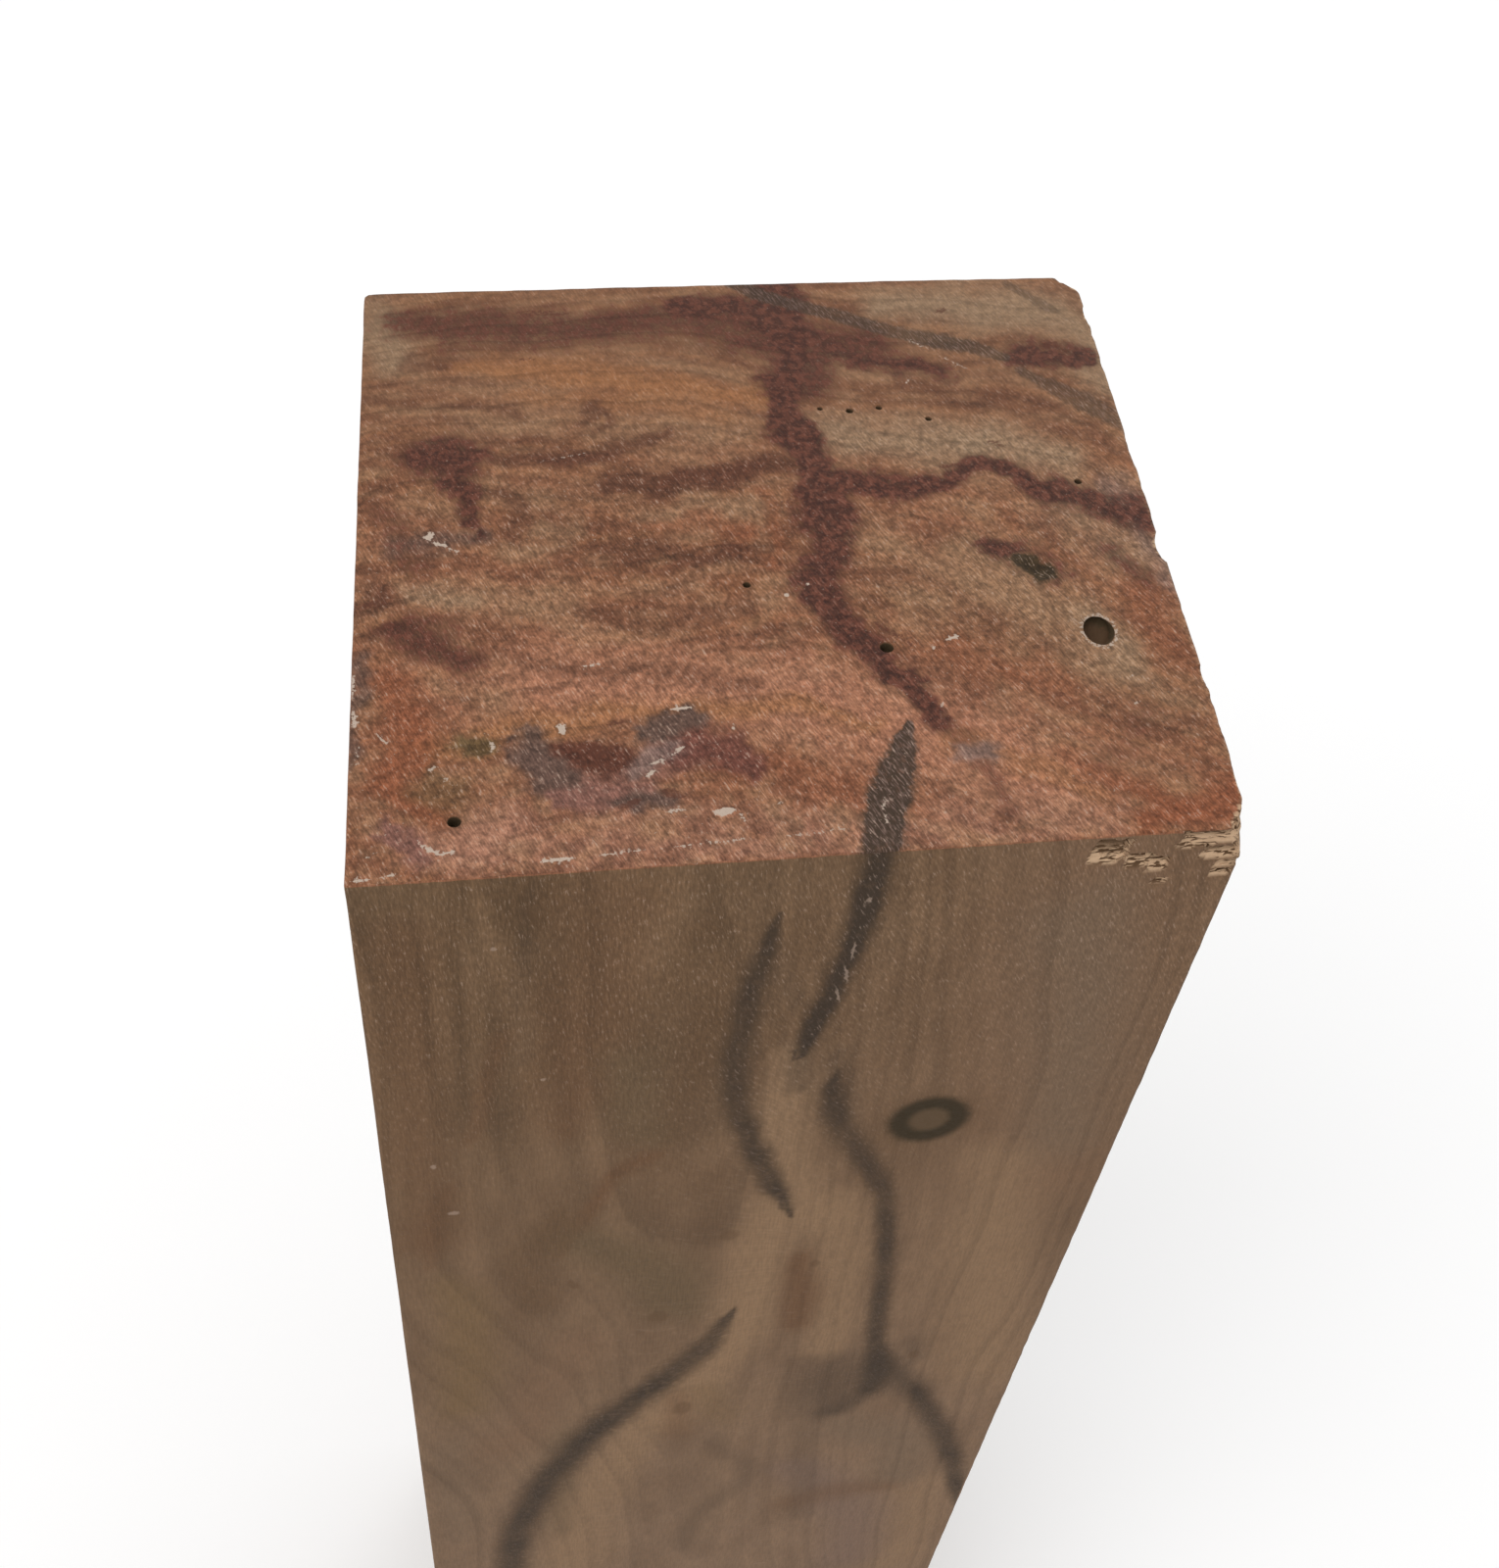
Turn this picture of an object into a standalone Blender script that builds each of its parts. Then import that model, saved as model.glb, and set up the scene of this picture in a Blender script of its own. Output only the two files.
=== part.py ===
"""Square wood turning blank: one sawn stick of hardwood, standing on its lower end.

Metres, +Z up along the grain. The origin is the centre of the lower end, the front long face looks
towards -Y and the upper end, with the flaws of the wood, towards +Z.
"""

import math

import bmesh
import bpy
from mathutils import Matrix, Vector

MM = 0.001

# The stick as sawn
WIDTH = 76 * MM
DEPTH = 76 * MM
LENGTH = 305 * MM
OUT_OF_SQUARE = math.radians(2.3)  # how far the side faces lean from square, seen on the end

# Broken arrises
LONG_ARRIS_EASE = 0.5 * MM
END_ARRIS_EASE = 0.3 * MM
EASE_SEGMENTS = 2

# Knocked corners of the upper end: along the width, along the depth, down the length
FRONT_RIGHT_KNOCK = Vector((2.0, 3.4, 5.0)) * MM
BACK_RIGHT_KNOCK = Vector((2.6, 2.6, 3.2)) * MM
BACK_LEFT_KNOCK = Vector((0.5, 0.5, 0.9)) * MM

# Beetle gallery that opens on the upper end. Places on the end are shares of the width and the depth
# from its centre, because the flaws lie in the wood wherever the faces are sawn.
GALLERY_DIAMETER = 2.9 * MM
GALLERY_DEPTH = 2.4 * MM  # down to the packed dust that plugs it
GALLERY_LEAN = math.radians(36)
GALLERY_PLACE = (0.386, -0.191)
GALLERY_SIDES = 28

# Lost pin knots: shallow round dishes in the upper end
DISH_DEPTH = 0.4 * MM
DISHES = (
    # place across, place deep, diameter
    (0.330, -0.080, 3.0 * MM),
    (-0.355, -0.320, 1.9 * MM),
)
DISH_SIDES = 20

# Pinholes in the upper end
PINHOLE_DEPTH = 1.6 * MM
PINHOLES = (
    # place across, place deep, diameter
    (0.123, -0.201, 1.3 * MM),
    (-0.033, -0.087, 0.8 * MM),
    (-0.385, -0.423, 1.2 * MM),
    (0.135, 0.224, 0.8 * MM),
    (0.175, 0.228, 0.7 * MM),
    (0.238, 0.203, 0.7 * MM),
    (0.096, 0.230, 0.6 * MM),
    (0.415, 0.072, 0.8 * MM),
)
PINHOLE_SIDES = 12

# Torn grain below the upper end, at the right of the front face. Each chip is a wedge that is deepest
# at its upper edge and runs out downwards, measured to its middle from the right arris and from the end.
CHIPS = (
    # from the right, from the end, length, height, depth, slant in degrees
    (12.3 * MM, 2.4 * MM, 3.0 * MM, 3.2 * MM, 1.30 * MM, -10),
    (11.5 * MM, 1.8 * MM, 1.5 * MM, 1.8 * MM, 1.75 * MM, 8),
    (9.4 * MM, 3.9 * MM, 2.3 * MM, 2.0 * MM, 0.80 * MM, -4),
    (7.5 * MM, 4.6 * MM, 1.8 * MM, 1.9 * MM, 0.95 * MM, -6),
    (6.8 * MM, 7.1 * MM, 1.3 * MM, 0.8 * MM, 0.35 * MM, 3),
    (5.5 * MM, 1.5 * MM, 1.5 * MM, 2.3 * MM, 0.95 * MM, -8),
    (3.0 * MM, 1.3 * MM, 3.7 * MM, 1.9 * MM, 1.05 * MM, 4),
    (2.2 * MM, 3.5 * MM, 2.9 * MM, 1.7 * MM, 1.15 * MM, -5),
    (1.0 * MM, 5.2 * MM, 2.4 * MM, 1.1 * MM, 0.70 * MM, 3),
    (1.4 * MM, 6.5 * MM, 1.8 * MM, 0.9 * MM, 0.50 * MM, -4),
)
CHIP_PROUD = 0.6 * MM  # how far a chip's cutter stands out of the face

# Nicks along the right arris of the upper end: small round chips that the saw broke out of the right face.
# They stand nearly upright, because the photo shows them in the outline.
NICKS = (
    # place deep, length, depth
    (-0.440, 6.8 * MM, 0.38 * MM),
    (-0.349, 3.0 * MM, 0.16 * MM),
    (-0.311, 1.6 * MM, 0.18 * MM),
    (-0.272, 2.8 * MM, 0.38 * MM),
    (-0.162, 1.6 * MM, 0.15 * MM),
    (-0.054, 3.9 * MM, 0.75 * MM),
    (-0.016, 4.0 * MM, 0.27 * MM),
    (0.055, 1.8 * MM, 0.18 * MM),
    (0.128, 5.6 * MM, 0.30 * MM),
    (0.257, 3.0 * MM, 0.13 * MM),
    (0.303, 2.0 * MM, 0.22 * MM),
    (0.366, 1.4 * MM, 0.20 * MM),
    (0.411, 3.2 * MM, 0.38 * MM),
)
NICK_TALL = 3.0 * MM  # how far down the right face a nick reaches
NICK_LIFT = 0.1 * MM  # how far a nick's cutter is centred above the end
NICK_SIDES = 28

CUT_CLEAR = 0.5 * MM  # how far the holes' cutters stand above the end

WOOD_COLOUR = (0.165, 0.092, 0.054, 1.0)
WOOD_ROUGHNESS = 0.72


def clear_scene():
    for old in list(bpy.data.objects):
        bpy.data.objects.remove(old, do_unlink=True)


def new_collection(name):
    made = bpy.data.collections.new(name)
    bpy.context.scene.collection.children.link(made)
    return made


def new_object(name, bm, collection):
    mesh = bpy.data.meshes.new(name)
    bm.to_mesh(mesh)
    bm.free()
    made = bpy.data.objects.new(name, mesh)
    collection.objects.link(made)
    return made


def wood():
    made = bpy.data.materials.new("sawn_wood")
    made.use_nodes = True
    shader = made.node_tree.nodes["Principled BSDF"]
    shader.inputs["Base Color"].default_value = WOOD_COLOUR
    shader.inputs["Roughness"].default_value = WOOD_ROUGHNESS
    shader.inputs["Metallic"].default_value = 0.0
    return made


def lean_of(y):
    """How far the out-of-square sawing moves a point at this depth along the width."""
    return y * math.tan(OUT_OF_SQUARE)


def on_end(across, deep):
    """A point of the upper end, from its shares of the width and the depth."""
    y = deep * DEPTH
    return Vector((across * WIDTH + lean_of(y), y, LENGTH))


def corner(side, face):
    """A corner of the upper end: side is 1 on the right, face is 1 at the back."""
    return on_end(side / 2, face / 2)


def knock_off(bm, side, face, legs):
    """Slices a corner off the upper end with one plane, and closes the cut."""
    tip = corner(side, face)
    along_width = tip - Vector((side * legs.x, 0, 0))
    along_depth = tip - Vector((lean_of(face * legs.y), face * legs.y, 0))
    down = tip - Vector((0, 0, legs.z))
    normal = (along_depth - along_width).cross(down - along_width).normalized()
    if normal.dot(tip - along_width) < 0:
        normal.negate()
    parts = bm.verts[:] + bm.edges[:] + bm.faces[:]
    cut = bmesh.ops.bisect_plane(bm, geom=parts, plane_co=along_width, plane_no=normal, clear_outer=True)
    rim = [edge for edge in cut["geom_cut"] if isinstance(edge, bmesh.types.BMEdge)]
    bmesh.ops.contextual_create(bm, geom=rim)


def sawn_stick(collection):
    """The four sawn faces and two crosscut ends, with weights for the arrises."""
    bm = bmesh.new()
    bmesh.ops.create_cube(bm, size=1.0)
    bmesh.ops.scale(bm, vec=(WIDTH, DEPTH, LENGTH), verts=bm.verts)
    bmesh.ops.translate(bm, vec=(0, 0, LENGTH / 2), verts=bm.verts)
    for vert in bm.verts:
        vert.co.x += lean_of(vert.co.y)
    widest = max(LONG_ARRIS_EASE, END_ARRIS_EASE)
    weight = bm.edges.layers.float.new("bevel_weight_edge")
    for edge in bm.edges:
        runs_along = abs((edge.verts[0].co - edge.verts[1].co).normalized().z) > 0.5
        edge[weight] = (LONG_ARRIS_EASE if runs_along else END_ARRIS_EASE) / widest
    stick = new_object("turning_blank", bm, collection)
    stick.data.materials.append(wood())
    ease = stick.modifiers.new("ease_arrises", "BEVEL")
    ease.width = widest
    ease.segments = EASE_SEGMENTS
    ease.limit_method = "WEIGHT"
    return stick


def knock_corners(stick):
    """Takes the eased stick as its own mesh, and slices off the corners that took knocks."""
    depsgraph = bpy.context.evaluated_depsgraph_get()
    eased = bpy.data.meshes.new_from_object(stick.evaluated_get(depsgraph))
    bm = bmesh.new()
    bm.from_mesh(eased)
    knock_off(bm, 1, -1, FRONT_RIGHT_KNOCK)
    knock_off(bm, 1, 1, BACK_RIGHT_KNOCK)
    knock_off(bm, -1, 1, BACK_LEFT_KNOCK)
    bm.to_mesh(eased)
    bm.free()
    stick.modifiers.clear()
    stick.data = eased


def as_cutter(name, bm, place, collection):
    cutter = new_object(name, bm, collection)
    cutter.matrix_world = place
    cutter.hide_render = True
    cutter.display_type = "WIRE"
    return cutter


def round_hole(name, mouth, diameter, depth, lean, sides, collection):
    """A round hole with a domed bottom, whose axis leans back from the upright as it goes down."""
    above = CUT_CLEAR + diameter * math.tan(lean)
    bm = bmesh.new()
    bmesh.ops.create_cone(
        bm, cap_ends=True, segments=sides, radius1=diameter / 2, radius2=diameter / 2, depth=depth + above
    )
    bmesh.ops.translate(bm, vec=(0, 0, (above - depth) / 2), verts=bm.verts)
    low_rim = [edge for edge in bm.edges if all(vert.co.z < 0 for vert in edge.verts)]
    bmesh.ops.bevel(bm, geom=low_rim, offset=diameter / 5, segments=2, affect="EDGES", profile=0.5)
    as_cutter(name, bm, Matrix.Translation(mouth) @ Matrix.Rotation(lean, 4, "X"), collection)


def dish(name, mouth, diameter, collection):
    """The cap of a sphere that meets the end in a circle of this diameter."""
    radius = (diameter**2 / 4 + DISH_DEPTH**2) / (2 * DISH_DEPTH)
    bm = bmesh.new()
    bmesh.ops.create_uvsphere(bm, u_segments=DISH_SIDES, v_segments=2 * DISH_SIDES, radius=radius)
    lift = Vector((0, 0, radius - DISH_DEPTH))
    as_cutter(name, bm, Matrix.Translation(mouth + lift), collection)


def flaws_of_the_end(collection):
    mouth = on_end(*GALLERY_PLACE)
    round_hole("gallery", mouth, GALLERY_DIAMETER, GALLERY_DEPTH, GALLERY_LEAN, GALLERY_SIDES, collection)
    for index, (across, deep, diameter) in enumerate(DISHES):
        dish(f"dish_{index}", on_end(across, deep), diameter, collection)
    for index, (across, deep, diameter) in enumerate(PINHOLES):
        mouth = on_end(across, deep)
        round_hole(f"pinhole_{index}", mouth, diameter, PINHOLE_DEPTH, 0, PINHOLE_SIDES, collection)


def torn_grain(collection):
    """Wedge-shaped chips out of the front face, below the upper end."""
    front = corner(1, -1)
    for index, (from_right, from_end, length, height, depth, slant) in enumerate(CHIPS):
        bm = bmesh.new()
        bmesh.ops.create_cube(bm, size=1.0)
        bmesh.ops.scale(bm, vec=(length, depth + CHIP_PROUD, height), verts=bm.verts)
        bmesh.ops.translate(bm, vec=(0, (depth - CHIP_PROUD) / 2, 0), verts=bm.verts)
        for vert in bm.verts:
            if vert.co.y > 0 and vert.co.z < 0:
                vert.co.y = 0
        middle = front - Vector((from_right, 0, from_end))
        turn = Matrix.Rotation(math.radians(slant), 4, "Y")
        as_cutter(f"chip_{index}", bm, Matrix.Translation(middle) @ turn, collection)


def nicks(collection):
    """Small round chips out of the right arris of the upper end."""
    for index, (deep, length, depth) in enumerate(NICKS):
        bm = bmesh.new()
        bmesh.ops.create_uvsphere(bm, u_segments=NICK_SIDES, v_segments=NICK_SIDES, radius=1.0)
        bmesh.ops.scale(bm, vec=(depth, length / 2, NICK_TALL), verts=bm.verts)
        centre = on_end(0.5, deep) + Vector((0, 0, NICK_LIFT))
        turn = Matrix.Rotation(-OUT_OF_SQUARE, 4, "Z")
        as_cutter(f"nick_{index}", bm, Matrix.Translation(centre) @ turn, collection)


def cut_away(stick, cutters):
    cut = stick.modifiers.new("cut_flaws", "BOOLEAN")
    cut.operation = "DIFFERENCE"
    cut.solver = "EXACT"
    cut.operand_type = "COLLECTION"
    cut.collection = cutters


def build():
    clear_scene()
    blank = new_collection("wood_turning_blank")
    cutters = new_collection("cutters")
    stick = sawn_stick(blank)
    knock_corners(stick)
    flaws_of_the_end(cutters)
    torn_grain(cutters)
    nicks(cutters)
    cut_away(stick, cutters)


build()
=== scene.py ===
"""Looks of the wood turning blank: one dense skin of sawn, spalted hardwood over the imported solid.

The blank stands on its lower end, +Z up along the grain. Everything below is in millimetres until a mesh
is made. A place on the upper end is (x, y), and a place on a long face is (along the face, below the end).
"""

import functools
import math

import bpy
import numpy as np
from mathutils import Euler, Matrix, Vector, geometry, noise


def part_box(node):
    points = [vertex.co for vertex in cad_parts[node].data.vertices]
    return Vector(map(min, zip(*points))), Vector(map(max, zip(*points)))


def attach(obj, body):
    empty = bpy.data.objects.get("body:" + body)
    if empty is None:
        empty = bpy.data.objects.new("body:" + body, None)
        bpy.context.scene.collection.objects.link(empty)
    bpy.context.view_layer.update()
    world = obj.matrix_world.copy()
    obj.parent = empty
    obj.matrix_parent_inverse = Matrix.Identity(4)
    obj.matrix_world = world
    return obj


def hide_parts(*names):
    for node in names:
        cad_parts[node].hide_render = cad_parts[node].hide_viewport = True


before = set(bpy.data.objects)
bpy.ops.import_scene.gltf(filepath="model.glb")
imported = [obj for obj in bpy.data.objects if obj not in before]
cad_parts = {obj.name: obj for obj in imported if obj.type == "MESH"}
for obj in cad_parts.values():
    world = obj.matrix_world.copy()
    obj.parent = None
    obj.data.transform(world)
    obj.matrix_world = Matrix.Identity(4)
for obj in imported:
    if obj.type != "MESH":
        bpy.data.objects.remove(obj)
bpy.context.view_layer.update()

MM = 0.001
noise.seed_set(3)
NODE = "turning_blank"
OUT_OF_SQUARE = math.radians(2.3)

low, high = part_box(NODE)
LENGTH = (high.z - low.z) / MM
DEPTH = (high.y - low.y) / MM
LEAN = math.tan(OUT_OF_SQUARE)
WIDTH = (high.x - low.x) / MM - DEPTH * LEAN
HALF = DEPTH / 2

# Mesh spacing
FINE = 0.5
FINEST = 0.25
END_STEP = 0.508
END_MARGIN = 0.7  # between the grid of the end and its arrises
LOWER_STEP = 4.0
LOWER_MARGIN = 2.0
UPPER_END, LOWER_END, ELSEWHERE = -1, -2, -3  # where a point lies that is on none of the faces 0 to 3
TORN_FROM = 22.0  # where the torn grain begins, along the front face
FINEST_DOWN_TO = 7.0
FINE_DOWN_TO = 12.0
SHARP_DOWN_TO = 60.0
PHOTO_DOWN_TO = 180.0
JITTER = 0.07

# Arrises and knocked corners, as on the solid
LONG_EASE = 0.5
END_EASE = 0.3
KNOCKS = (
    # side, face, along the width, along the depth, down the length
    (1, -1, 2.0, 3.4, 5.0),
    (1, 1, 2.6, 2.6, 3.2),
    (-1, 1, 0.5, 0.5, 0.9),
)

# Flaws of the upper end, as on the solid: shares of the width and the depth from its centre
GALLERY = (0.386, -0.191)
GALLERY_WIDE = 2.9
GALLERY_DEEP = 2.4
GALLERY_LEAN = math.radians(36)
DISH_DEEP = 0.4
DISHES = ((0.330, -0.080, 3.0), (-0.355, -0.320, 1.9))
PINHOLE_DEEP = 1.6
PINHOLES = (
    (0.123, -0.201, 1.3), (-0.033, -0.087, 0.8), (-0.385, -0.423, 1.2), (0.135, 0.224, 0.8),
    (0.175, 0.228, 0.7), (0.238, 0.203, 0.7), (0.096, 0.23, 0.6), (0.415, 0.072, 0.8),
)

# Torn grain at the right of the front face: from the right, from the end, length, height, depth, slant
CHIPS = (
    (12.3, 2.4, 3.0, 3.2, 1.30, -10),
    (11.5, 1.8, 1.5, 1.8, 1.75, 8),
    (9.4, 3.9, 2.3, 2.0, 0.80, -4),
    (7.5, 4.6, 1.8, 1.9, 0.95, -6),
    (6.8, 7.1, 1.3, 0.8, 0.35, 3),
    (5.5, 1.5, 1.5, 2.3, 0.95, -8),
    (3.0, 1.3, 3.7, 1.9, 1.05, 4),
    (2.2, 3.5, 2.9, 1.7, 1.15, -5),
    (1.0, 5.2, 2.4, 1.1, 0.70, 3),
    (1.4, 6.5, 1.8, 0.9, 0.50, -4),
)

# Nicks of the right arris: place deep, length, depth
NICKS = (
    (-0.44, 6.8, 0.38), (-0.349, 3, 0.16), (-0.311, 1.6, 0.18), (-0.272, 2.8, 0.38), (-0.162, 1.6, 0.15),
    (-0.054, 3.9, 0.75), (-0.016, 4, 0.27), (0.055, 1.8, 0.18), (0.128, 5.6, 0.3), (0.257, 3, 0.13),
    (0.303, 2, 0.22), (0.366, 1.4, 0.2), (0.411, 3.2, 0.38),
)
NICK_TALL = 3.0
BOW = 0.30  # how far the back face falls away towards its ends


# Places on the blank

def lean(y):
    """How far the out-of-square sawing moves a point at this depth along the width."""
    return y * LEAN


def on_end(across, deep):
    y = deep * DEPTH
    return np.array((across * WIDTH + lean(y), y))


def turned_by(spots, angle):
    """The same spots along and across a direction at this angle."""
    c, s = math.cos(math.radians(angle)), math.sin(math.radians(angle))
    return np.column_stack((spots[:, 0] * c + spots[:, 1] * s, spots[:, 1] * c - spots[:, 0] * s))


def ease_step(value, start, stop):
    share = np.clip((value - start) / (stop - start), 0, 1)
    return share * share * (3 - 2 * share)


def wander(spots, wave, seed=0.0):
    """A smooth random vector from -1 to 1 at each spot, the same each run."""
    at = np.asarray(spots, float) / wave + seed
    if at.shape[1] == 2:
        at = np.column_stack((at, np.full(len(at), seed)))
    return np.array([noise.noise_vector(Vector(spot)) for spot in at])


def ripple(spots, wave, seed=0.0):
    return wander(spots, wave, seed)[:, 0]


# Painted marks

def smooth_line(points, steps=5):
    """A Catmull-Rom curve through the given points."""
    knots = np.array(points, float)
    if len(knots) < 3:
        return knots
    ends = np.vstack((2 * knots[0] - knots[1], knots, 2 * knots[-1] - knots[-2]))
    made = []
    for index in range(1, len(ends) - 2):
        before, here, there, after = ends[index - 1:index + 3]
        for share in np.arange(steps) / steps:
            made.append(
                here
                + share * (there - before) / 2
                + share**2 * (before - 2.5 * here + 2 * there - after / 2)
                + share**3 * (1.5 * (here - there) + (after - before) / 2)
            )
    made.append(knots[-1])
    return np.array(made)


def away_from(spots, points):
    """The way from a line of (along, across, half width) points to each spot, in half widths."""
    line = smooth_line(points)
    if len(line) == 1:
        line = np.vstack((line, line))
    best = np.full((len(spots), 2), 9.0)
    for (x0, y0, w0), (x1, y1, w1) in zip(line[:-1], line[1:]):
        run = np.array((x1 - x0, y1 - y0))
        square = max(run @ run, 1e-9)
        share = np.clip(((spots - (x0, y0)) @ run) / square, 0, 1)[:, None]
        way = (spots - (x0, y0) - share * run) / np.maximum(w0 + share * (w1 - w0), 0.05)
        nearer = (way**2).sum(axis=1) < (best**2).sum(axis=1)
        best[nearer] = way[nearer]
    return best


def nearness(spots, points):
    """1 on a line, falling to 0 at its half width."""
    return 1 - np.linalg.norm(away_from(spots, points), axis=1)


def line_field(spots, lines):
    """The way from the nearest dark line in half widths, and its strength, kept only near it."""
    field = np.zeros((len(spots), 3))
    best = np.full(len(spots), -9.0)
    uneven = 1 + 0.22 * ripple(spots, 6.0, 25.0)
    for strength, points in lines:
        way = away_from(spots, points)
        gap = np.linalg.norm(way, axis=1)
        dark = strength * (1 - gap)
        better = dark > best
        best[better] = dark[better]
        field[better, :2] = way[better]
        field[better, 2] = (uneven * strength * ease_step(gap, 1.3, 0.98))[better]
    return field


def paint(spots, tint, colour, strength, soft, points):
    """Lays a colour over the tint along a line, whose edge is soft for that share. Returns how much."""
    share = strength * ease_step(nearness(spots, points), 0, soft)
    tint += share[:, None] * (np.array(colour) - tint)
    return share


# Colours of the wood, linear

SEALED = (0.268, 0.112, 0.058)
SEALED_DRAB = (0.226, 0.112, 0.059)
SEALED_DARK = (0.178, 0.074, 0.038)
TAN = (0.285, 0.160, 0.088)
TAN_GREY = (0.285, 0.186, 0.112)
TAN_RED = (0.370, 0.163, 0.095)
PINK_TAN = (0.365, 0.174, 0.112)
ORANGE = (0.304, 0.133, 0.057)
RED = (0.236, 0.079, 0.037)
DARK_RED = (0.096, 0.033, 0.020)
LIVER = (0.118, 0.048, 0.027)
GREY_BROWN = (0.112, 0.066, 0.050)
GREY_PURPLE = (0.215, 0.098, 0.073)
OLIVE = (0.130, 0.080, 0.036)
BARK_OLIVE = (0.038, 0.026, 0.013)
PURPLE_RED = (0.140, 0.050, 0.036)
# pale grey haze of the sealed end, partly its wax and partly painted sheen
HAZE_AND_SHEEN = (0.190, 0.125, 0.105)

TAUPE = (0.146, 0.084, 0.043)
TAUPE_DARK = (0.112, 0.062, 0.031)
TAUPE_ROSY = (0.200, 0.116, 0.067)
TAUPE_LOW = (0.212, 0.133, 0.082)
TAUPE_LIGHT = (0.270, 0.166, 0.094)
TAUPE_GREEN = (0.142, 0.092, 0.050)
TAUPE_YELLOW = (0.190, 0.116, 0.058)
TAUPE_GREY = (0.186, 0.122, 0.077)
TAUPE_BROWN = (0.150, 0.078, 0.040)
TAUPE_MAUVE = (0.198, 0.126, 0.090)
SMUDGE = (0.070, 0.046, 0.030)

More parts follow.
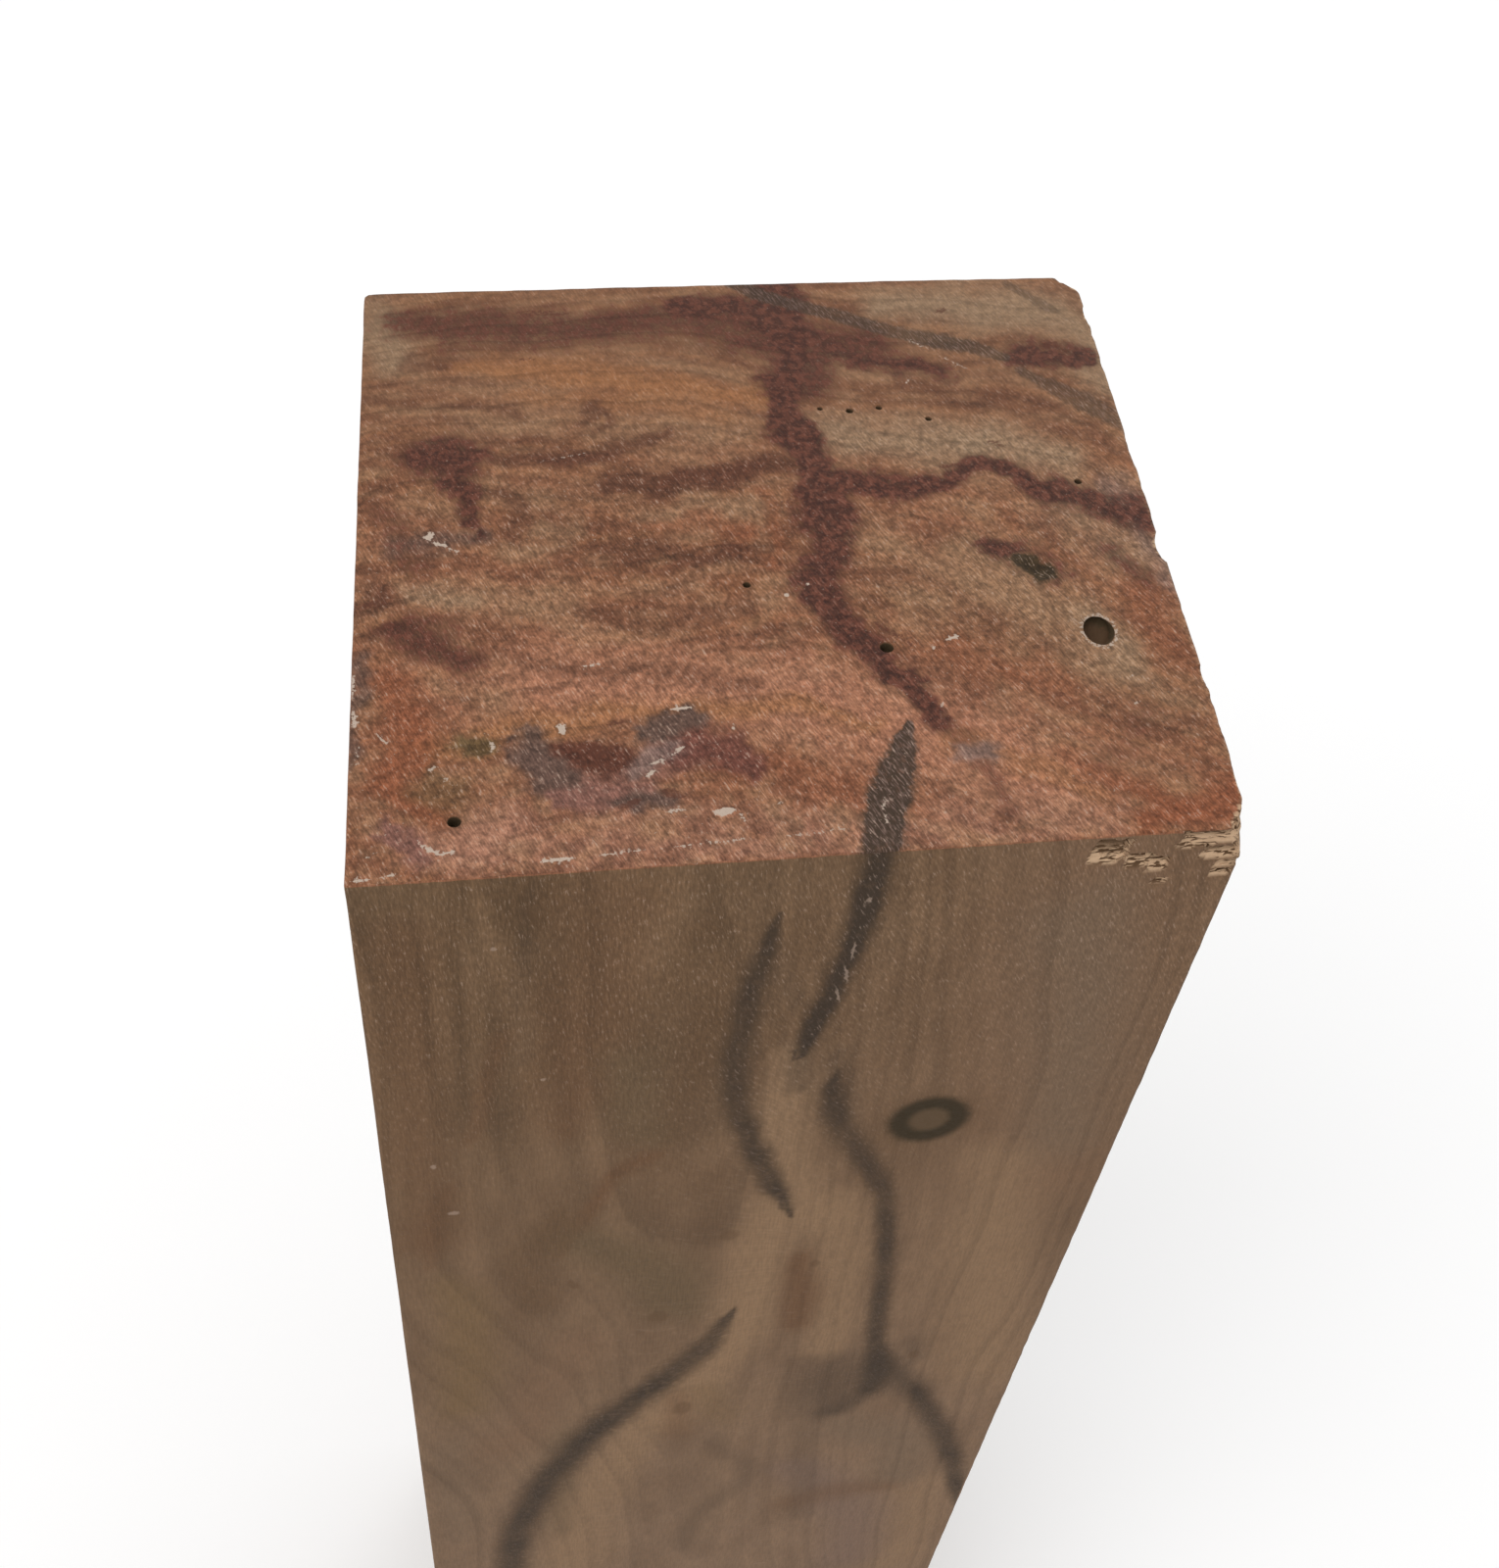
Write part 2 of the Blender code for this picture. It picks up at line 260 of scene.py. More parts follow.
# The upper end: colour, strength, softness, points of (x, y, half width)
END_PAINT = (
    (SEALED_DRAB, 0.9, 1, ((-36, 31, 34), (38, 26, 34))),
    (SEALED_DARK, 0.62, 1, ((-16, 2, 13), (-2, 0, 13))),
    (SEALED_DARK, 0.5, 1, ((-36, 10, 12), (-26, 6, 9))),
    (TAN_RED, 0.4, 0.9, ((-30, -17, 9), (0, -21, 9), (22, -28, 9))),
    (PINK_TAN, 0.8, 1, ((-28, -35, 6), (0, -36, 7), (22, -36, 6))),
    (SEALED_DRAB, 0.8, 1, ((12, -9, 8), (28, -15, 12), (33, -22, 8))),
    (TAN_RED, 0.75, 1, ((-22, -17, 7), (0, -21, 9), (14, -28, 8), (22, -33, 5))),
    (TAN_GREY, 0.4, 1, ((30, 2, 6), (34, -4, 6))),
    (TAN, 0.8, 1, ((20, -4, 5), (26, -13, 5), (30, -19, 5))),
    (TAN_GREY, 0.75, 0.9, ((9, 14, 4.5), (15, 12, 5.4), (22, 11.5, 4.6))),
    (TAN_GREY, 0.75, 0.9, ((24, 12, 4.5), (31, 9, 4.5))),
    (TAN_GREY, 0.85, 1, ((18, 34, 5), (27, 33, 6), (36, 32, 5))),
    (TAN_GREY, 0.8, 1, ((38, 29, 4), (38.5, 20, 4))),
    (TAN_GREY, 0.75, 1, ((-35, 34, 4), (-34, 27, 4))),
    (TAN, 0.6, 0.9, ((-20, 17, 4.6), (-26.5, 17.2, 3.2))),
    (TAN, 0.55, 1, ((-14, 15, 4), (-6.7, 15, 4.6), (0, 15, 4))),
    (TAN, 0.75, 0.9, ((-20.6, 2.6, 2.2), (-18.8, 1.6, 2.2))),
    (TAN, 0.6, 0.9, ((-9, 2.4, 3.4), (0, 3.4, 3.4))),
    (TAN, 0.6, 1, ((-29, -7, 4), (-19, -8, 4))),
    (TAN, 0.55, 1, ((11, -2, 4), (20, -9, 4.4))),
    (TAN_GREY, 0.5, 1, ((28, -13, 3), (31, -20, 3.4))),
    (ORANGE, 0.85, 0.9, ((-28, 25.5, 1.8), (-18.4, 24.6, 3.2), (-8, 22, 3.2), (2, 19.6, 2.6))),
    (ORANGE, 0.5, 0.9, ((-22, 20.5, 1.8), (-12, 19.5, 2.2), (-2, 17, 2))),
    (ORANGE, 0.75, 0.9, ((-34, -24.6, 2), (-24, -22.6, 2.6), (-14, -21.4, 2.2), (-2, -21.5, 1.8),
        (6, -24, 1.4))),
    (ORANGE, 0.6, 0.9, ((12, -26.5, 1.8), (20, -30.5, 2.2), (24, -34, 1.8))),
    (RED, 0.85, 0.9, ((-36, -16, 3), (-33.5, -21, 3.8), (-35, -27, 3.2), (-31.6, -30.8, 2.2))),
    (PINK_TAN, 0.6, 0.9, ((-34, -34, 2.4), (-30, -34.6, 2.8), (-26, -32, 3))),
    (HAZE_AND_SHEEN, 0.5, 0.9, ((35.6, 5, 2.4), (36.6, -1.6, 2.4), (37.2, -9, 1.4))),
    (RED, 0.9, 0.8, ((27, -37, 1.6), (31, -36.4, 2.6), (35, -35.4, 3.2), (37.4, -32, 2.2))),
    (RED, 0.5, 0.9, ((-7, -27, 3.6), (0, -30, 3.8), (8, -34, 3))),
    (RED, 0.5, 0.9, ((14, -16, 3), (24, -21, 3.6))),
    (RED, 0.5, 0.9, ((33, -8, 3.4), (35, -18, 3.4))),
    (RED, 0.65, 0.9, ((22.6, -29, 2.4), (26.6, -32.4, 3.2), (30, -34.6, 2.8))),
    (LIVER, 0.7, 0.9, ((-37.4, 20.3, 1.6), (-32.4, 20.4, 1.8))),
    (LIVER, 0.65, 0.9, ((-32.5, 27.1, 1.6), (-28.6, 26, 1.5))),
    (LIVER, 0.65, 0.9, ((-29, 20, 1.4), (-24.6, 19.4, 1.4), (-22, 18.4, 1.2))),
    (LIVER, 0.75, 0.9, ((-15.6, 17, 1.4), (-14, 18.6, 1.3), (-12.6, 16.6, 1.4), (-14, 15.2, 1.2))),
    (LIVER, 0.85, 0.9, ((-23.6, 11.2, 1.6), (-17.5, 11.2, 2.1), (-12.6, 12.4, 2), (-8, 13.8, 1.4))),
    (LIVER, 0.95, 0.8, ((-14.5, 7.6, 1.6), (-8, 7.4, 2.5), (-3, 8.4, 2.5), (2.5, 9.4, 2))),
    (LIVER, 0.7, 0.9, ((-26, 6.6, 1.2), (-22.6, 5, 1.4), (-23.4, 0.4, 1.1))),
    (LIVER, 0.8, 0.9, ((-16, -0.6, 1.8), (-9, -1.8, 2.2), (-2.6, -2.6, 1.9))),
    (LIVER, 0.55, 0.9, ((-18, -9.6, 1.8), (-10, -10.6, 1.9), (-3, -9.4, 1.6))),
    (LIVER, 0.55, 0.9, ((-24, -15, 1.8), (-12, -17.4, 1.8), (-4, -18.4, 1.5))),
    (LIVER, 0.8, 0.8, ((-38.4, -6.8, 1.2), (-35.6, -6.4, 1.4))),
    (LIVER, 0.8, 0.8, ((-37.8, -10.6, 1.1), (-34.6, -10.2, 1.1))),
    (LIVER, 0.6, 0.9, ((-37, -3, 1.4), (-32, -2.4, 1.2))),
    (LIVER, 0.6, 0.9, ((17.5, 21.6, 1.6), (23.4, 17.6, 1.8), (26.8, 17, 1.7))),
    (LIVER, 0.55, 0.9, ((29.6, 17.4, 1.4), (35, 14.6, 1.6))),
    (DARK_RED, 0.4, 0.9, ((-29.9, 18.8, 1.3), (-27.3, 17, 1.4), (-24.1, 15, 1.3))),
    (DARK_RED, 0.35, 0.9, ((-22.7, 13.7, 1.2), (-20.2, 14, 1.4), (-18.3, 12.9, 1.2))),
    (DARK_RED, 0.4, 0.9, ((-20.4, 10.8, 1), (-17.1, 11.1, 1.2), (-12.4, 11.8, 1.1))),
    (DARK_RED, 0.3, 0.9, ((-20.2, 5.1, 1.2), (-19.2, 1.7, 1.2), (-18.1, -0.6, 1.1))),
    (RED, 0.6, 0.9, ((-10.3, 1.2, 1.8), (-5.6, 2.2, 2), (-2, 0.1, 1.8))),
    (DARK_RED, 0.3, 0.9, ((-8.9, -3.9, 1.4), (-4.3, -2.3, 1.5), (0.4, -1.3, 1.3))),
    (DARK_RED, 0.4, 0.9, ((-36.3, -4.8, 1.5), (-34.5, -6.6, 1.6), (-32.8, -8.9, 1.5))),
    (RED, 0.55, 0.9, ((0.1, 5.8, 1.3), (0.9, 2, 1.4), (0.7, -3.6, 1.2))),
    (DARK_RED, 0.25, 0.9, ((-25.8, -2.8, 1.2), (-22.8, -4.3, 1.3), (-19.7, -4.1, 1.2))),
    (DARK_RED, 0.25, 0.9, ((-15.5, -6.1, 1.2), (-11.3, -8.1, 1.3), (-6.9, -7.5, 1.2))),
    (LIVER, 0.7, 0.9, ((-12.6, 8.4, 1.8), (-8.3, 7.5, 2.3), (-4.2, 6.8, 1.9))),
    (DARK_RED, 0.45, 0.9, ((-8, 8.2, 1.6), (-4, 8.8, 2), (0, 9, 1.6))),
    (TAN, 0.5, 0.9, ((-6.6, 4.8, 1.8), (-1.5, 4, 1.8))),
    (TAN, 0.6, 0.9, ((-24.4, -0.7, 1.7), (-19.4, -0.7, 1.7))),
    (TAN_GREY, 0.5, 0.9, ((-32.7, -5.9, 1.6), (-27.9, -7.9, 1.8))),
    (OLIVE, 0.6, 0.9, ((-32.8, -28, 2.4), (-30.6, -29.2, 2.6))),
    (GREY_BROWN, 0.75, 0.8, ((-38, -13, 1.1), (-38.6, -18.4, 1.3), (-38.8, -25, 1.1))),
    (GREY_BROWN, 0.7, 0.9, ((-34.6, 0.2, 1.8), (-30, 0.2, 2.4), (-26.4, 1.6, 1.7))),
)
END_GROUND = 6  # how many of these lie under the figure of the rings

# The crusted patch and other marks with crisp, ragged edges
END_BLOTS = (
    (GREY_PURPLE, 0.8, 0.7, ((-23.4, -25.6, 2.6), (-20.6, -28.6, 3), (-16, -28.8, 3),
        (-11.6, -25.6, 3.2))),
    (GREY_BROWN, 0.9, 0.5, ((-23.7, -22.8, 1.4), (-23.5, -25, 2.7), (-22.4, -27.8, 3),
        (-21, -29.6, 1.8))),
    (GREY_PURPLE, 0.9, 0.6, ((-21.8, -30.2, 1.6), (-18.6, -30.7, 2.2), (-14.6, -30.8, 1.8))),
    (DARK_RED, 0.95, 0.5, ((-20.6, -25, 1.7), (-18.6, -26.2, 2.5), (-16.4, -26.5, 1.8))),
    (GREY_BROWN, 0.95, 0.5, ((-13.5, -23.6, 1.6), (-11.2, -22.5, 2), (-9.4, -22.4, 1.5))),
    (PURPLE_RED, 0.9, 0.6, ((-12.4, -26.8, 1.7), (-9.8, -25.6, 2.9), (-6.8, -26.4, 2.6),
        (-5.4, -28.8, 1.6))),
    (GREY_BROWN, 0.9, 0.6, ((-17.1, -31.2, 1.1), (-15, -31.3, 1.5), (-12.5, -31.5, 1.5))),
    (OLIVE, 0.95, 0.6, ((-29.4, -23.6, 1.4), (-27, -24.2, 1.4))),
    (HAZE_AND_SHEEN, 0.75, 0.7, ((-15.4, -27.8, 1.3), (-13.4, -26.6, 1.7), (-11.6, -25.4, 1.3))),
    (GREY_PURPLE, 0.95, 0.6, ((-36.4, -32.4, 1.1), (-34.8, -33.9, 1.6), (-33.4, -35.2, 1.1))),
    (HAZE_AND_SHEEN, 0.8, 0.8, ((13, -28, 1.5), (15.6, -28.4, 1.7))),
    (DARK_RED, 0.5, 0.9, ((8, -12.6, 1.4), (10.8, -17.6, 1.1))),
    (BARK_OLIVE, 0.95, 0.4, ((24.2, -5.8, 2.2), (25, -6.3, 2.2))),
    (DARK_RED, 0.85, 0.7, ((32.8, 26.4, 1.2), (34, 26.3, 1.5), (35.2, 25.4, 1))),
)

# Purple heart stain of the end: strength, points
END_PURPLE = (
    (0.95, ((6.6, 39, 3.4), (6.3, 27, 3.2), (4.5, 17.3, 2.7), (5.8, 10, 2.8), (6.6, 4.6, 3.3),
        (5.5, -2.3, 2.6), (3.6, -7.2, 2.5), (5.6, -12.4, 2.3), (8.4, -17.4, 2.1), (10.6, -21.6, 1.8),
        (12, -24.4, 1.1))),
    (0.4, ((11.6, -23.6, 1.4), (14.2, -28.6, 1.5), (15.8, -32.8, 1.2), (16.4, -35, 0.7))),
    (0.85, ((7, 7.4, 2.6), (11.4, 5.8, 1.9), (15.6, 5.2, 1.7), (21, 7.6, 1.8), (24, 7.8, 1.9),
        (28, 5, 1.9), (33, 2.4, 2.3), (39, -0.6, 3.2))),
    (0.55, ((-33, 33, 3.4), (-27, 31.8, 4.4), (-19, 31.2, 4.8), (-12, 31.4, 4.4), (-5.6, 32, 4.6),
        (2.4, 31.6, 5), (9.3, 29, 5), (15, 27.6, 3.6))),
    (0.6, ((2, 28, 4), (8.4, 26, 4.6), (7, 21, 3.6))),
    (0.85, ((-3.6, 34, 2.6), (3, 32.8, 3.2), (6.6, 29.6, 3))),
    (0.7, ((9.3, 28.6, 2.8), (13.7, 25, 2.6), (17.6, 24.2, 2.4), (21.4, 22.6, 1.8))),
    (0.9, ((31.2, 24.6, 2.6), (33.6, 25, 3.4), (36.4, 24.2, 1.8))),
    (0.75, ((-31.6, 12.2, 2.8), (-28.9, 12, 4.4), (-26, 12.4, 2.6))),
    (0.75, ((-28, 9, 2.6), (-27.3, 4.8, 1.5), (-27.6, 1.6, 1))),
    (0.6, ((-35, -10, 2), (-31.6, -12, 3.8), (-28.8, -14.8, 2.6))),
    (0.45, ((-21.6, -30.4, 1.2), (-18.1, -30.2, 1.9), (-13.6, -29.6, 1.4))),
    (0.6, ((-13, -25.6, 1.4), (-9.9, -24.6, 3), (-7.4, -26.6, 1.8))),
    (0.26, ((25.6, -29.6, 2), (28.2, -27.4, 2.8), (30.6, -24.6, 2.2))),
    (0.8, ((21.4, -3, 1.6), (24.2, -5.2, 3.3), (26.2, -6.8, 1.8))),
    (0.5, ((32.6, -4.6, 1.7), (34.4, -8, 2.2))),
    (0.35, ((-35, 4, 2), (-33, -3, 1.6))),
)

# Spalt: black fungus lines. Strength and points, first on the end and then on the four faces
END_SPALT = (
    (1, ((9, -24.3, 0.5), (8.3, -26.4, 1.2), (7.4, -28.6, 1.8), (6.1, -31.5, 2.2), (5.1, -34.4, 2.1),
        (4.3, -37.4, 2), (3.9, -39, 1.9))),
    (0.75, ((1.4, 38.6, 1), (4.6, 35.9, 1.2), (8, 34.2, 1.1), (12.9, 31.8, 1.2), (17.2, 29.5, 1.2),
        (21.1, 27.8, 1.5), (25.1, 26.7, 1.3), (28.6, 24.6, 0.8))),
    (0.6, ((29.8, 22.4, 0.7), (33.3, 19.2, 1.4), (36.7, 15.9, 1.6), (39.4, 12.8, 1.4))),
    (0.45, ((31.6, 36.8, 0.7), (35.6, 32.2, 0.8))),
)
FRONT_SPALT = (
    (1, ((3.9, -0.6, 2.1), (3.9, 4.3, 2.4), (3.8, 8.5, 2.4), (3.3, 12.9, 2.2), (2.9, 16.7, 2),
        (2.2, 20.6, 1.9), (1.5, 24.6, 1.8), (0.8, 28.6, 1.6), (0.4, 32.4, 0.4))),
    (0.82, ((-3.7, 7.6, 0.4), (-4.4, 12.6, 1.5), (-5, 17.4, 2), (-5.4, 22.2, 2.3), (-5.7, 28.2, 2.4),
        (-5.6, 34.8, 2.4), (-4.9, 40.5, 2.4), (-3.2, 46.6, 2.2), (-1.2, 53.2, 2.1), (0.7, 58.6, 1.7),
        (2.6, 64.4, 0.5))),
    (0.82, ((4.5, 34, 0.4), (4.3, 38.4, 1.8), (5, 42.6, 2.4), (6.6, 47, 2.4), (9, 52.6, 2.4),
        (11.2, 57.4, 2.2), (12.9, 64.2, 1.9), (14.2, 73.8, 1.9), (15.2, 86.7, 2), (16.1, 97.4, 2.3),
        (17.2, 104.6, 3), (17.7, 110, 3.4), (17.2, 114, 2.4))),
    (0.8, ((23.6, 115, 1.6), (24.6, 118.4, 2.5), (26.4, 122.8, 2.9), (29.6, 131.6, 2.9), (32.4, 141, 2.6),
        (34.4, 150, 2.2), (36.8, 160, 1.9))),
    (0.85, ((-1.8, 84.6, 0.4), (-4.2, 93.6, 2.6), (-6.6, 99.4, 3.4), (-10.2, 105.4, 3.6),
        (-13.6, 110.8, 3.8), (-17, 116.8, 3.9), (-20.2, 124, 4), (-23.2, 132, 3.9), (-25.8, 141.6, 3.8),
        (-27.6, 152.6, 3.6), (-28.8, 167.6, 3.4), (-29.2, 184, 3), (-31.4, 203, 2.6), (-35.4, 221, 2.2),
        (-40.6, 236, 1.7))),
    (0.5, ((1.2, 206, 0.8), (3.6, 214, 1.6), (7.2, 226, 2.2), (8.4, 242, 2.3), (6, 260, 2.2), (5, 281, 2),
        (6.4, 306, 1.8))),
)
RIGHT_SPALT = (
    (0.7, ((12.6, -0.6, 1.4), (12.2, 8, 1.5), (10.6, 19, 1.5), (7.8, 31, 1.6), (6.6, 44, 1.7),
        (8.4, 57, 1.7), (12.4, 70, 1.6), (15.4, 84, 1.5), (15.8, 100, 1.4), (13.8, 114, 1.1),
        (12.6, 124, 0.5))),
    (0.55, ((-39, 160, 1.2), (-35, 171, 1.5), (-30.6, 184, 1.7), (-28.4, 199, 1.7), (-29.6, 216, 1.6),
        (-33, 232, 1.3), (-36, 243, 0.6))),
    (0.5, ((20, 132, 0.6), (21.4, 143, 1.3), (25, 156, 1.5), (26.6, 172, 1.6), (25.2, 190, 1.7),
        (20.4, 206, 1.6), (17, 222, 1.5), (18, 240, 1.2), (20.8, 252, 0.5))),
)
BACK_SPALT = (
    (0.7, ((1.2, -0.6, 1.2), (0.6, 9, 1.3), (-1.8, 20, 1.5), (-5.4, 31, 1.6), (-7, 44, 1.7),
        (-5.4, 58, 1.6), (-3.6, 70, 1.4), (-4.4, 82, 0.7))),
    (0.55, ((12, 64, 0.6), (14.4, 76, 1.4), (18.8, 90, 1.7), (20.6, 107, 1.8), (17.6, 124, 1.7),
        (13, 140, 1.6), (11.6, 158, 1.4), (13.2, 172, 0.6))),
    (0.5, ((-26, 168, 0.6), (-23.6, 182, 1.5), (-18.6, 198, 1.7), (-16.4, 216, 1.7), (-18.6, 236, 1.5),
        (-21.2, 252, 1))),
)
LEFT_SPALT = (
    (0.6, ((-39, 238, 1.2), (-35, 249, 1.4), (-30.4, 262, 1.5), (-28.6, 278, 1.4), (-29.8, 292, 0.8))),
    (0.62, ((8.6, 26, 0.5), (10.4, 37, 1.3), (9.6, 50, 1.6), (6, 64, 1.7), (4.6, 80, 1.7), (7, 96, 1.6),
        (8.8, 111, 1.3), (8, 123, 0.5))),
    (0.45, ((20.6, 148, 0.5), (22.4, 162, 1.3), (20.2, 180, 1.5), (16.4, 196, 1.4), (15.4, 212, 0.8))),
)

# The long faces: colour, strength, softness, points of (along the face, below the end, half width)
FRONT_PAINT = (
    (TAUPE_ROSY, 0.9, 1, ((24, 2, 17), (27, 30, 17), (31, 58, 15))),
    (TAUPE_BROWN, 0.55, 1, ((-36, 8, 6), (-36, 40, 6), (-36, 62, 6))),
    (TAUPE_BROWN, 0.6, 1, ((-18, 4, 9), (-20, 24, 7), (-22, 40, 5))),
    (TAUPE_GREY, 0.75, 1, ((24, 12, 9), (28, 34, 10), (30, 52, 8))),
    (TAUPE_DARK, 0.5, 1, ((-10, 10, 5), (-9, 28, 4), (-12, 44, 4))),
    (TAUPE_GREEN, 0.6, 1, ((-16, 30, 5), (-14, 44, 5))),
    (TAUPE_BROWN, 0.6, 0.9, ((-28, 24.5, 1.4), (-28.6, 33, 1.6), (-30.7, 42, 1.4))),
    (TAUPE_BROWN, 0.8, 0.9, ((-13.2, 48.6, 1.5), (-16.4, 54.2, 1.9), (-19.7, 60.8, 2.1),
        (-22.1, 67, 1.4))),
    (TAUPE_BROWN, 0.5, 0.9, ((-33.6, 50, 1.8), (-35.2, 60, 2), (-36, 70, 1.6))),
    (TAUPE_GREEN, 0.85, 1, ((-20, 64, 7), (-12, 74, 9), (-8, 84, 7))),
    (TAUPE_DARK, 0.5, 1, ((-22, 60, 4), (-26, 70, 5), (-24, 80, 5))),
    (TAUPE_YELLOW, 0.9, 1, ((-33, 74, 5), (-32.4, 90, 6.4), (-33.4, 106, 6))),
    (TAUPE_LIGHT, 0.85, 0.9, ((-0.6, 32, 3.6), (0.2, 44, 4.6), (2.2, 55, 4.6), (6.2, 66, 5))),
    (TAUPE_LIGHT, 0.95, 0.9, ((0.4, 62, 5.2), (-0.6, 80, 5.6), (-1.4, 92, 6.6), (-6, 106, 8),
        (-9.4, 118, 7))),
    (TAUPE_LIGHT, 0.75, 0.9, ((8, 62, 4.6), (9.8, 84, 5.2), (10.4, 100, 4.6))),
    (TAUPE_LIGHT, 0.75, 1, ((24, 56, 7), (27, 80, 10), (31, 110, 10))),
    (TAUPE_LIGHT, 0.85, 1, ((-12.6, 120, 6), (-17, 140, 8), (-20, 162, 9), (-19, 190, 7))),
    (TAUPE_LIGHT, 0.6, 1, ((30, 150, 7), (31, 175, 8), (26, 200, 7))),
    (TAUPE_GREEN, 0.45, 1, ((-21, 120, 4), (-21.6, 136, 4.4), (-22, 152, 4.4))),
    (TAUPE_YELLOW, 0.5, 1, ((-4, 108, 4), (-1, 118, 4))),
    (TAUPE_ROSY, 0.7, 1, ((-20, 92, 7), (-28, 120, 7))),
    (TAUPE_BROWN, 0.85, 0.9, ((4.8, 73, 2.6), (5.4, 82, 4), (5.6, 92, 3.2))),
    (TAUPE_BROWN, 0.5, 1, ((-7.4, 110, 3.4), (-7, 122, 3.4))),
    (TAUPE_GREY, 0.8, 1, ((16, 126, 7), (24, 132, 8), (26, 146, 7))),
    (TAUPE_MAUVE, 0.8, 1, ((10, 138, 7), (20, 158, 8), (22, 180, 8))),
    (TAUPE_GREY, 0.5, 1, ((-36, 120, 5), (-35, 150, 5))),
    (TAUPE_BROWN, 0.5, 1, ((11, 152, 4.6), (17, 150, 6), (24, 150, 4.4))),
    (SMUDGE, 0.35, 1, ((-0.6, 23, 1.6), (-2.6, 17, 1.4), (-3.6, 11, 1.2))),
    (SMUDGE, 0.55, 1, ((12.8, 103, 4.4), (12.2, 111, 6.6), (12.8, 119, 5))),
    (SMUDGE, 0.65, 1, ((17.6, 104, 3.6), (17.4, 112, 4.6), (15, 118, 4), (12, 121, 3))),
    (SMUDGE, 0.75, 1, ((18.4, 107, 4), (21.6, 113, 3.8), (24.6, 118, 3))),
    (SMUDGE, 0.55, 1, ((0.8, 29, 2), (0.2, 34, 2.4), (0.8, 38, 1.6))),
    (SMUDGE, 0.45, 1, ((4.2, 31, 1.4), (4.4, 36, 2.6), (5.4, 42, 3.2))),
    (SMUDGE, 0.3, 1, ((8, 104, 4.4), (7.4, 111, 5.6), (8.6, 119, 4.4))),
    (SMUDGE, 0.45, 1, ((20.4, 98, 2), (21.8, 101.6, 3.2), (22.4, 106, 2))),
    (SMUDGE, 0.32, 1, ((-2.3, 125.8, 2.8), (1.8, 131.6, 3.4), (4, 138.2, 3), (1, 145, 3.4),
        (-2.6, 153.4, 3), (-4.4, 166, 2.6))),
    (SMUDGE, 0.28, 1, ((10.1, 124.5, 3.4), (11.6, 140, 3.8), (13.1, 157, 3))),
    (SMUDGE, 0.3, 1, ((-24.4, 1, 1), (-25.2, 9.4, 1.3), (-25.6, 18.4, 1.5), (-25.5, 28.2, 1.3))),
    (TAUPE_LIGHT, 0.6, 1, ((-4, 236, 8), (-8, 262, 9), (-3, 290, 9))),
    (TAUPE_BROWN, 0.5, 1, ((20, 226, 5), (22, 250, 6), (18, 276, 5))),
)
RIGHT_PAINT = (
    (TAUPE_ROSY, 0.5, 1, ((-28, 4, 12), (-22, 40, 12), (-28, 80, 12))),
    (TAUPE_BROWN, 0.45, 1, ((24, 6, 6), (21, 40, 6), (26, 74, 6))),
    (TAUPE_LIGHT, 0.5, 1, ((2, 34, 4), (-1, 60, 5), (4, 90, 5), (6, 118, 5))),
    (TAUPE_GREEN, 0.45, 1, ((-16, 96, 6), (-20, 116, 7), (-14, 140, 5))),
    (TAUPE_LIGHT, 0.45, 1, ((10, 160, 6), (8, 190, 6), (4, 226, 7), (8, 262, 6))),
    (TAUPE_BROWN, 0.45, 1, ((-8, 196, 3), (-12, 220, 4), (-10, 246, 3))),
    (TAUPE_YELLOW, 0.4, 1, ((32, 120, 5), (33, 150, 5))),
)
BACK_PAINT = (
    (TAUPE_ROSY, 0.5, 1, ((24, 6, 10), (28, 40, 10), (24, 84, 9))),
    (TAUPE_BROWN, 0.45, 1, ((-20, 8, 6), (-24, 36, 6), (-22, 66, 6))),
    (TAUPE_LIGHT, 0.5, 1, ((0, 52, 4), (4, 80, 5), (4, 110, 5), (-2, 142, 6))),
    (TAUPE_GREEN, 0.45, 1, ((-26, 96, 6), (-20, 120, 7), (-24, 146, 5))),
    (TAUPE_LIGHT, 0.45, 1, ((-4, 176, 5), (0, 210, 6), (4, 250, 7), (0, 286, 6))),
    (TAUPE_BROWN, 0.4, 1, ((26, 190, 4), (28, 220, 5), (24, 250, 4))),
)
LEFT_PAINT = (
    (TAUPE_BROWN, 0.5, 1, ((-30, 8, 7), (-26, 40, 7), (-30, 76, 7))),
    (TAUPE_LIGHT, 0.5, 1, ((-6, 30, 5), (-8, 60, 5), (-4, 96, 6), (-8, 130, 6))),
    (TAUPE_ROSY, 0.5, 1, ((24, 20, 8), (22, 60, 8), (26, 100, 8))),
    (TAUPE_GREEN, 0.45, 1, ((-22, 130, 6), (-18, 156, 6))),
    (TAUPE_LIGHT, 0.45, 1, ((4, 190, 6), (-2, 220, 7), (4, 256, 7), (10, 286, 6))),
    (TAUPE_YELLOW, 0.4, 1, ((28, 214, 5), (26, 246, 5))),
)

